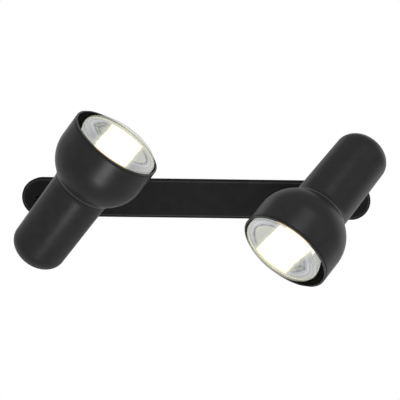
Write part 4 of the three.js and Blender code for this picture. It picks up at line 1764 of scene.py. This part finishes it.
@dataclass
class Housing(Assembly):
    """The spun housing of a head: a bell with a rolled rim, a waisted neck and a domed barrel."""

    UV_NAME = "turning"
    SPILL = "spill"

    shade_radius: float = 47 * MM
    wall: float = 1.2 * MM
    bead_radius: float = 0.95 * MM
    bead_start: float = 1.35 * math.pi
    bead_steps: int = 18
    groove_depth: float = 0.5 * MM
    groove_start_share: float = 0.1
    groove_place: float = 2.4 * MM
    groove_half: float = 0.8 * MM
    groove_points: int = 4
    spill_half: float = 19 * MM
    spill_depth: float = 13.5 * MM
    spill_place: float = 5.3 * MM
    spill_crest: float = 0.38 * MM
    spill_sharpness: float = 8.0
    shoulder_start: float = 25.8 * MM
    shoulder_radius: float = 41 * MM
    shoulder_steps: int = 30
    neck_radius: float = 29.3 * MM
    neck_rise: float = 4.5 * MM
    neck_steps: int = 12
    tail_radius: float = 28.3 * MM
    tail_dome: float = 20.9 * MM
    tail_steps: int = 26
    length: float = 158.8 * MM
    nipple_hole: float = 5.1 * MM
    middle_depth: float = 60 * MM
    steps: int = 144
    sharp_corner: float = 50.0

    def outer_wall(self) -> Profile:
        """Outline of the outer wall from the rim's bead to the tip of the domed end.

        Returns:
            The outline, whose first points are those of the groove behind the bead.
        """
        rim = self.shade_radius
        groove = -self.groove_place
        wall = Profile().to((rim, -self.bead_radius))
        wall.to((rim - self.groove_start_share * self.groove_depth, groove + self.groove_half))
        wall.to((rim - self.groove_depth, groove), (rim, groove - self.groove_half))
        wall.to((rim, groove - 2 * self.groove_half), (rim, -self.shoulder_start / 2))
        centre = rim - self.shoulder_radius
        turn = math.acos((self.neck_radius + self.neck_rise - centre) / self.shoulder_radius)
        reach = (self.shoulder_radius, self.shoulder_radius)
        wall.arc((centre, -self.shoulder_start), reach, 0.0, -turn, self.shoulder_steps)
        start = Vector(wall.points[-1])
        slope = Vector((-math.sin(turn), -math.cos(turn)))
        run = self.neck_rise / -slope.x
        corner = start + slope * run
        neck_end = corner.y - run
        wall.bend([tuple(corner)], (self.neck_radius, neck_end), self.neck_steps)
        tail_start = self.tail_dome - self.length
        wall.to(((self.neck_radius + self.tail_radius) / 2, (neck_end + tail_start) / 2))
        dome = (self.tail_radius, self.tail_dome)
        wall.arc((0.0, tail_start), dome, 0.0, -QUARTER_TURN, self.tail_steps)
        wall.points[-1] = (0.0, -self.length)
        return wall

    def build(self, station: Station) -> None:
        """Make the housing of one spotlight.

        Args:
            station: where the spotlight stands.
        """
        side = station.side.value
        outer = self.outer_wall()
        inner = Profile(outer.points[self.groove_points:]).inset(self.wall).reversed()
        middle = (self.shade_radius - self.bead_radius, -self.bead_radius)
        round_bead = (self.bead_radius, self.bead_radius)
        bead = Profile().arc(middle, round_bead, self.bead_start, 0.0, self.bead_steps)
        outline = inner.joined(bead).joined(Profile(outer.points[1:]))
        housing = turned(f"{side}_housing_finished", outline, self.steps)
        hole = rod("nipple_hole", self.nipple_hole, -self.shade_radius, -station.head_offset / 2)
        place(hole, shift(z=-station.rim_reach) @ turn_about("Y"))
        combine(housing, hole, Join.CUT)
        smooth(housing, self.sharp_corner)
        self._paint(housing)
        place(housing, station.rim_frame())
        self.fit(housing, f"{side}_head", Slot.HEAD_PAINT, f"{side}_housing")

    def _paint(self, housing: Piece) -> None:
        """Paint the outside, leave the inside matt black and note where the lamp's light spills.

        Args:
            housing: the housing in its rim's frame.
        """
        self.shop.coat(housing, self.shop.housing, self.shop.inside)
        chart(housing, self.UV_NAME, lambda spot: (-spot.z, spot.y))
        middle = Vector((0.0, 0.0, -self.middle_depth))
        for face in housing.data.polygons:
            outward = face.normal.dot(face.center - middle)
            face.material_index = 0 if outward > 0 else 1
        spill = housing.data.attributes.new(self.SPILL, "FLOAT", "POINT")
        for vertex, lit in zip(housing.data.vertices, spill.data):
            lit.value = self._spill(vertex.co)

    def _spill(self, spot: Vector) -> float:
        """How much of the lamp's light spills on one spot of the rim.

        Args:
            spot: the spot in the rim's frame.

        Returns:
            A share from 0 to 1.
        """
        radius = math.hypot(spot.x, spot.y)
        crested = spot.z > -self.bead_radius / 2 and radius < self.shade_radius - self.spill_crest
        walled = radius < self.shade_radius - self.bead_radius and spot.z > -self.spill_depth
        if spot.x < 0 or not (crested or walled):
            return 0.0
        share = 1.0 - abs(spot.y - self.spill_place) / self.spill_half
        return max(0.0, min(1.0, self.spill_sharpness * share))


@dataclass
class ReflectorLamp(Assembly):
    """The lit reflector lamp: bulb glass, silvered bowl and filament."""

    BAND_MAP = "band"
    MOUTH_MAP = "mouth"
    RIM_MAP = "rim"

    radius: float = 40.5 * MM
    widest: float = 1.5 * MM
    dome_height: float = 14 * MM
    dome_power: float = 2.1
    neck_radius: float = 14.5 * MM
    neck_depth: float = 60 * MM
    bowl_front: float = 14.5 * MM
    bowl_back: float = 22 * MM
    bowl_radius: float = 16 * MM
    glass_wall: float = 0.5 * MM
    mirror_wall: float = 0.2 * MM
    mirror_gap: float = 0.1 * MM
    band_shift: float = 5 * MM
    gap: float = 0.3 * MM
    cap_front: float = 73.8 * MM
    sleeve_radius: float = 12.4 * MM
    sleeve_length: float = 6 * MM
    sideways: float = 3 * MM
    inward: float = 1 * MM
    filament_depth: float = 34.6 * MM
    filament_half: float = 9 * MM
    filament_coil: float = 0.9 * MM
    filament_wire: float = 0.16 * MM
    filament_turns: int = 26
    wire_sides: int = 6
    turn_steps: int = 12
    dome_steps: int = 26
    bowl_steps: int = 26
    mirror_steps: int = 34
    steps: int = 120
    sharp_corner: float = 50.0
    wire_corner: float = 60.0
    lip_slope: float = 0.5

    def _dome(self, steps: int) -> Profile:
        """Outline of the dome from its tip to the widest place.

        Args:
            steps: number of straight steps.

        Returns:
            The outline without its last point, which starts the bowl.
        """
        dome = Profile()
        bulge = 2 / self.dome_power
        for index in range(steps):
            angle = QUARTER_TURN * index / steps
            height = -self.widest + self.dome_height * math.cos(angle) ** bulge
            dome.to((self.radius * math.sin(angle) ** bulge, height))
        return dome

    def _bowl(self, steps: int) -> Profile:
        """Outline of the bowl from the widest place to the neck.

        Args:
            steps: number of straight steps.

        Returns:
            The outline.
        """
        bowl = Profile().to((self.radius, -self.widest))
        handles = [
            (self.radius, -self.widest - self.bowl_front),
            (self.bowl_radius, -self.neck_depth + self.bowl_back),
        ]
        return bowl.bend(handles, (self.neck_radius, -self.neck_depth), steps)

    def build(self, station: Station) -> None:
        """Make the lamp of one spotlight.

        Args:
            station: where the spotlight stands.
        """
        side = station.side.value
        body = f"{side}_head"
        frame = station.rim_frame() @ shift(x=-self.inward, y=self.sideways)
        glass = self._glass(f"{side}_lamp_glass_finished")
        place(glass, frame)
        self.fit(glass, body, Slot.GLASS, f"{side}_lamp_glass")
        mirror = self._mirror(f"{side}_lamp_mirror_finished", station.tilt)
        place(mirror, frame)
        self.fit(mirror, body, Slot.MIRROR, f"{side}_lamp_mirror")
        filament = self._filament(f"{side}_lamp_filament_finished")
        place(filament, frame)
        self.fit(filament, body, Slot.TUNGSTEN, f"{side}_lamp_filament")

    def _glass(self, name: str) -> Piece:
        """The bulb: one thin wall from the tip of the dome to the sleeve in the cap.

        Args:
            name: its name.

        Returns:
            The bulb.
        """
        outer = self._dome(self.dome_steps).joined(self._bowl(self.bowl_steps))
        outer.to((self.neck_radius, -self.cap_front + 2 * self.gap + self.glass_wall))
        inner = outer.inset(self.glass_wall).reversed()
        thin = self.sleeve_radius - self.glass_wall
        low = -self.cap_front - self.sleeve_length
        high = -self.cap_front + self.gap
        sleeve = Profile().to((self.sleeve_radius, high), (self.sleeve_radius, low))
        sleeve.to((thin, low), (thin, high))
        glass = turned(name, outer.joined(sleeve).joined(inner), self.steps)
        smooth(glass, self.sharp_corner)
        chart(glass, self.RIM_MAP, lambda spot: (spot.x + self.radius, spot.z))
        chart(glass, self.BAND_MAP, self._across_band)
        return glass

    def _across_band(self, spot: Vector) -> Point:
        """Place across and along the band of light of a spot in the lamp's frame."""
        return spot.y + self.band_shift, spot.x

    def _mirror(self, name: str, tilt: float) -> Piece:
        """The silvering inside the bowl, with maps of the painted band of light and of the painted
        reflections in it.

        Args:
            name: its name.
            tilt: the head's tilt, at which the painted reflections ring the mirror's mouth.

        Returns:
            The mirror.
        """
        bowl = self._bowl(self.mirror_steps)
        back = self.glass_wall + self.mirror_gap
        inner = bowl.inset(back + self.mirror_wall).reversed()
        mirror = turned(name, bowl.inset(back).joined(inner).closed(), self.steps)
        smooth(mirror, self.sharp_corner)
        chart(mirror, self.BAND_MAP, self._across_band)
        glance = 1 / math.tan(tilt)
        chart(mirror, self.MOUTH_MAP, lambda spot: (spot.x - spot.z * glance, spot.y))
        self.shop.coat(mirror, self.shop.materials[Slot.MIRROR], self.shop.silver)
        for face in mirror.data.polygons:
            inward = face.normal.dot(Vector((-face.center.x, -face.center.y, 0.0)))
            face.material_index = 1 if inward > 0 or face.normal.z > self.lip_slope else 0
        return mirror

    def _filament(self, name: str) -> Piece:
        """The coiled filament across the lamp.

        Args:
            name: its name.

        Returns:
            The filament.
        """
        coil = stock(
            name,
            bpy.ops.mesh.primitive_circle_add,
            vertices=self.wire_sides,
            radius=self.filament_wire,
            location=(self.filament_coil, 0.0, 0.0),
            rotation=(QUARTER_TURN, 0.0, 0.0),
        )
        apply_modifier(
            coil,
            "SCREW",
            angle=FULL_TURN * self.filament_turns,
            screw_offset=2 * self.filament_half,
            steps=self.turn_steps * self.filament_turns,
            render_steps=self.turn_steps * self.filament_turns,
        )
        with editing(coil):
            bpy.ops.mesh.select_mode(type=Element.EDGE.value)
            bpy.ops.mesh.select_non_manifold()
            bpy.ops.mesh.fill_holes(sides=self.wire_sides)
            tidy_normals()
        middle = shift(y=-self.filament_half, z=-self.filament_depth)
        place(coil, middle @ turn_about("X", -QUARTER_TURN))
        smooth(coil, self.wire_corner)
        return coil


@dataclass(frozen=True)
class SoftLamp:
    """A round soft lamp of the studio."""

    name: str
    spot: Vector
    size: float
    power: float

    def hang(self, target: Vector) -> None:
        """Hang the lamp in its place and turn it to its target.

        Args:
            target: the spot that the lamp points at.
        """
        bpy.ops.object.select_all(action="DESELECT")
        bpy.ops.object.light_add(type="AREA", location=self.spot)
        light = bpy.context.object
        light.name = self.name
        light.rotation_euler = (target - self.spot).to_track_quat("-Z", "Y").to_euler()
        light.data.shape = "DISK"
        light.data.size = self.size
        light.data.energy = self.power
        light.visible_camera = False


@dataclass
class Studio:
    """A plain pale studio: floor, backdrop, soft light and the camera at the photograph's angle."""

    camera_place: Vector = Vector((-22.9, -1437.5, 79.0)) * MM
    camera_target: Vector = Vector((3.09, -40.0, -0.03)) * MM
    camera_roll: float = 0.014
    camera_lens: float = 122.8
    camera_film: float = 36.0
    lamps: tuple[SoftLamp, ...] = (
        SoftLamp("low_softbox", Vector((-123.0, -610.0, -382.0)) * MM, 280 * MM, 0.78),
        SoftLamp("high_softbox", Vector((236.0, -523.0, 451.0)) * MM, 380 * MM, 0.37),
        SoftLamp("side_softbox", Vector((1100.0, -800.0, 450.0)) * MM, 1000 * MM, 0.32),
    )
    lamp_target: Vector = Vector((0.0, -100.0, 0.0)) * MM
    soft_level: float = 0.9
    front_level: float = 0.1
    side_level: float = 0.2
    side_span: Span = (-0.7, 0.2)
    back_span: Span = (0.75, 1.0)
    panel_level: float = 0.62
    panel_left_share: float = 0.4
    panel_side_span: Span = (-0.4, 0.4)
    panel_across_span: Span = (0.45, 0.75)
    panel_back_span: Span = (0.0, 0.7)
    panel_height_span: Span = (0.4, 0.6)
    floor_height: float = -1200 * MM
    floor_front: float = 250 * MM
    floor_share: float = 0.35
    backdrop_place: float = 2200 * MM
    backdrop_top: float = 2200 * MM
    stage_half: float = 1700 * MM
    sheet_parts: int = 8
    paper_dark: Colour = (0.84, 0.84, 0.84)
    paper_light: Colour = (0.88, 0.88, 0.88)
    paper_roughness: float = 0.75
    paper_specular: float = 0.1
    fibre_size: float = 3 * MM
    fibre_roughness: float = 0.1
    fade_span: Span = (0.45, 0.95)
    glossy_middle: float = 0.3
    glossy_span: Span = (0.4, 0.7)
    gloss_dimming: float = 0.6

    def build(self) -> None:
        """Set up the camera, the lights, the world and the stage."""
        self._camera()
        for lamp in self.lamps:
            lamp.hang(self.lamp_target)
        self._world()
        self._stage()
        bpy.context.scene.view_settings.view_transform = "Standard"

    def _camera(self) -> None:
        """Place the camera."""
        bpy.ops.object.select_all(action="DESELECT")
        bpy.ops.object.camera_add()
        camera = bpy.context.object
        ahead = (self.camera_target - self.camera_place).normalized()
        level = ahead.cross(UPWARDS).normalized()
        upright = level.cross(ahead)
        right = level * math.cos(self.camera_roll) + upright * math.sin(self.camera_roll)
        camera.matrix_world = turned_frame(self.camera_place, right, right.cross(ahead), -ahead)
        camera.data.lens = self.camera_lens
        camera.data.sensor_width = self.camera_film
        camera.data.sensor_fit = "HORIZONTAL"
        bpy.context.scene.camera = camera

    def _world(self) -> None:
        """Light the world softly, with white behind the light and two pale panels beside it."""
        world = bpy.data.worlds.new("pale_studio")
        world.use_nodes = True
        world.cycles.sampling_method = "NONE"
        bpy.context.scene.world = world
        recipe = Recipe(world.node_tree)
        seen = recipe.ray(Ray.CAMERA)
        towards = recipe.node("ShaderNodeTexCoord", output="Generated")
        right, behind = recipe.pair(towards)
        level_part = abs(recipe.split(towards, "Z")).fall(*self.panel_height_span)
        panel = abs(right).step(*self.panel_across_span) * behind.step(*self.panel_back_span)
        panel_share = 1.0 - self.panel_left_share
        glow = self.panel_left_share + panel_share * right.step(*self.panel_side_span)
        beside = (self.side_level - self.front_level) * behind.step(*self.side_span)
        beside = beside + panel * level_part * (self.panel_level * glow)
        white_behind = (1.0 - self.side_level) * behind.step(*self.back_span)
        mirrored = self.front_level + beside + white_behind
        reflected = recipe.larger(recipe.ray(Ray.GLOSSY), recipe.ray(Ray.TRANSMISSION))
        unseen = reflected * mirrored + (1.0 - reflected) * self.soft_level
        level = seen + (1.0 - seen) * unseen
        sky = recipe.node("ShaderNodeBackground", {}, {"Color": WHITE, "Strength": level})
        recipe.node("ShaderNodeOutputWorld", {}, {"Surface": sky})

    def _stage(self) -> None:
        """Lay the floor and hang the backdrop."""
        low = (-self.stage_half, self.floor_front, self.floor_height)
        high = (self.stage_half, self.backdrop_place, self.floor_height)
        self._sheet("studio_floor", low, high, self.floor_share)
        low = (-self.stage_half, self.backdrop_place, self.floor_height)
        high = (self.stage_half, self.backdrop_place, self.backdrop_top)
        self._sheet("studio_backdrop", low, high, 1.0)

    def _sheet(
        self, name: str, low: Sequence[float], high: Sequence[float], white_share: float
    ) -> None:
        """One flat sheet of pale paper on the stage.

        Args:
            name: its name.
            low: its lowest corner.
            high: its highest corner.
            white_share: share of plain white that is seen in it.
        """
        parts = self.sheet_parts
        grid = bpy.ops.mesh.primitive_grid_add
        sheet = stock(name, grid, x_subdivisions=parts, y_subdivisions=parts, size=2.0)
        half = (Vector(high) - Vector(low)) / 2
        lean = turn_about("X", QUARTER_TURN if half.z > half.y else 0.0)
        reach = Matrix.Diagonal((half.x, max(half.y, half.z), 1.0, 1.0))
        place(sheet, shift(*(Vector(low) + half)) @ lean @ reach)
        sheet.data.materials.append(self._pale(f"{name}_paper", white_share))
        sheet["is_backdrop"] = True

    def _pale(self, name: str, white_share: float) -> bpy.types.Material:
        """Pale paper, which fades to the white of the surroundings where its edges would be seen.

        Args:
            name: the material's name.
            white_share: share of plain white that is seen in its middle.

        Returns:
            The material.
        """
        recipe = MaterialRecipe(name)
        place = recipe.place()
        fibre = recipe.noise(place, self.fibre_size)
        seen, glossy, through = (recipe.ray(kind) for kind in Ray)
        tone = recipe.blend(fibre, self.paper_dark, self.paper_light)
        tone = recipe.blend(glossy * self.gloss_dimming, tone, BLACK)
        roughness = self.paper_roughness + self.fibre_roughness * fibre
        recipe.surface(base_color=tone, roughness=roughness, specular_ior_level=self.paper_specular)
        aside, back = recipe.pair(place)
        middle = (self.floor_front + self.backdrop_place) / 2
        away = abs(aside) / self.stage_half
        ahead = abs(middle - back) / (self.backdrop_place - middle)
        fade = recipe.larger(away, ahead).step(*self.fade_span)
        shown = seen * (white_share + (1.0 - white_share) * fade)
        mirrored = self.glossy_middle + (1.0 - self.glossy_middle) * away.step(*self.glossy_span)
        mirrored = glossy * (mirrored * (white_share - self.floor_share))
        share = recipe.larger(shown, recipe.larger(mirrored, through * white_share))
        white = recipe.node("ShaderNodeEmission", {}, {"Color": WHITE, "Strength": 1.0})
        paper = Value(recipe, recipe.shader.outputs[0])
        mixed = recipe.node("ShaderNodeMixShader", {}, {0: share, 1: paper, 2: white})
        recipe.feed(recipe.output.inputs["Surface"], mixed)
        return recipe.material


def dress_frame(frame: dict[str, Any], shop: PaintShop) -> None:
    """Give every CAD node the finish that the record names for it.

    Args:
        frame: the loaded frame.
        shop: the finishes.
    """
    for row in frame["record"]["subparts"]:
        shop.dress(frame["nodes"][row["node"]], Slot(row["material_slot"]))
        LOG.info("%s is dressed in %s", row["node"], row["material_slot"])


def keep_inside(piece: Piece, low: Vector, high: Vector) -> None:
    """Press a finished piece's roundings into the CAD's box, where the CAD's own are coarser.

    Args:
        piece: the finished piece.
        low: the box's lowest corner.
        high: the box's highest corner.
    """
    for vertex in piece.data.vertices:
        vertex.co = [max(least, min(most, part)) for least, part, most in zip(low, vertex.co, high)]


def main() -> None:
    """Load the frame, build the light round it and set up the studio."""
    logging.basicConfig(level=logging.INFO, format="%(name)s: %(message)s")
    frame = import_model()
    low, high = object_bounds()
    shop = PaintShop()
    dress_frame(frame, shop)
    fasteners = Fasteners()
    stations = [Station.of(side, frame["joints"]) for side in Side]
    WallBar(shop, fasteners).build([station.pivot.x for station in stations])
    for station in stations:
        Knuckle(shop, fasteners).build(station)
        Housing(shop, spill_place=station.aim.spill_place).build(station)
        ReflectorLamp(shop, band_shift=station.aim.band_shift).build(station)
    for piece in bpy.context.scene.objects:
        if piece.name.endswith("_finished"):
            keep_inside(piece, low, high)
    Studio().build()


if __name__ == "__main__":
    main()
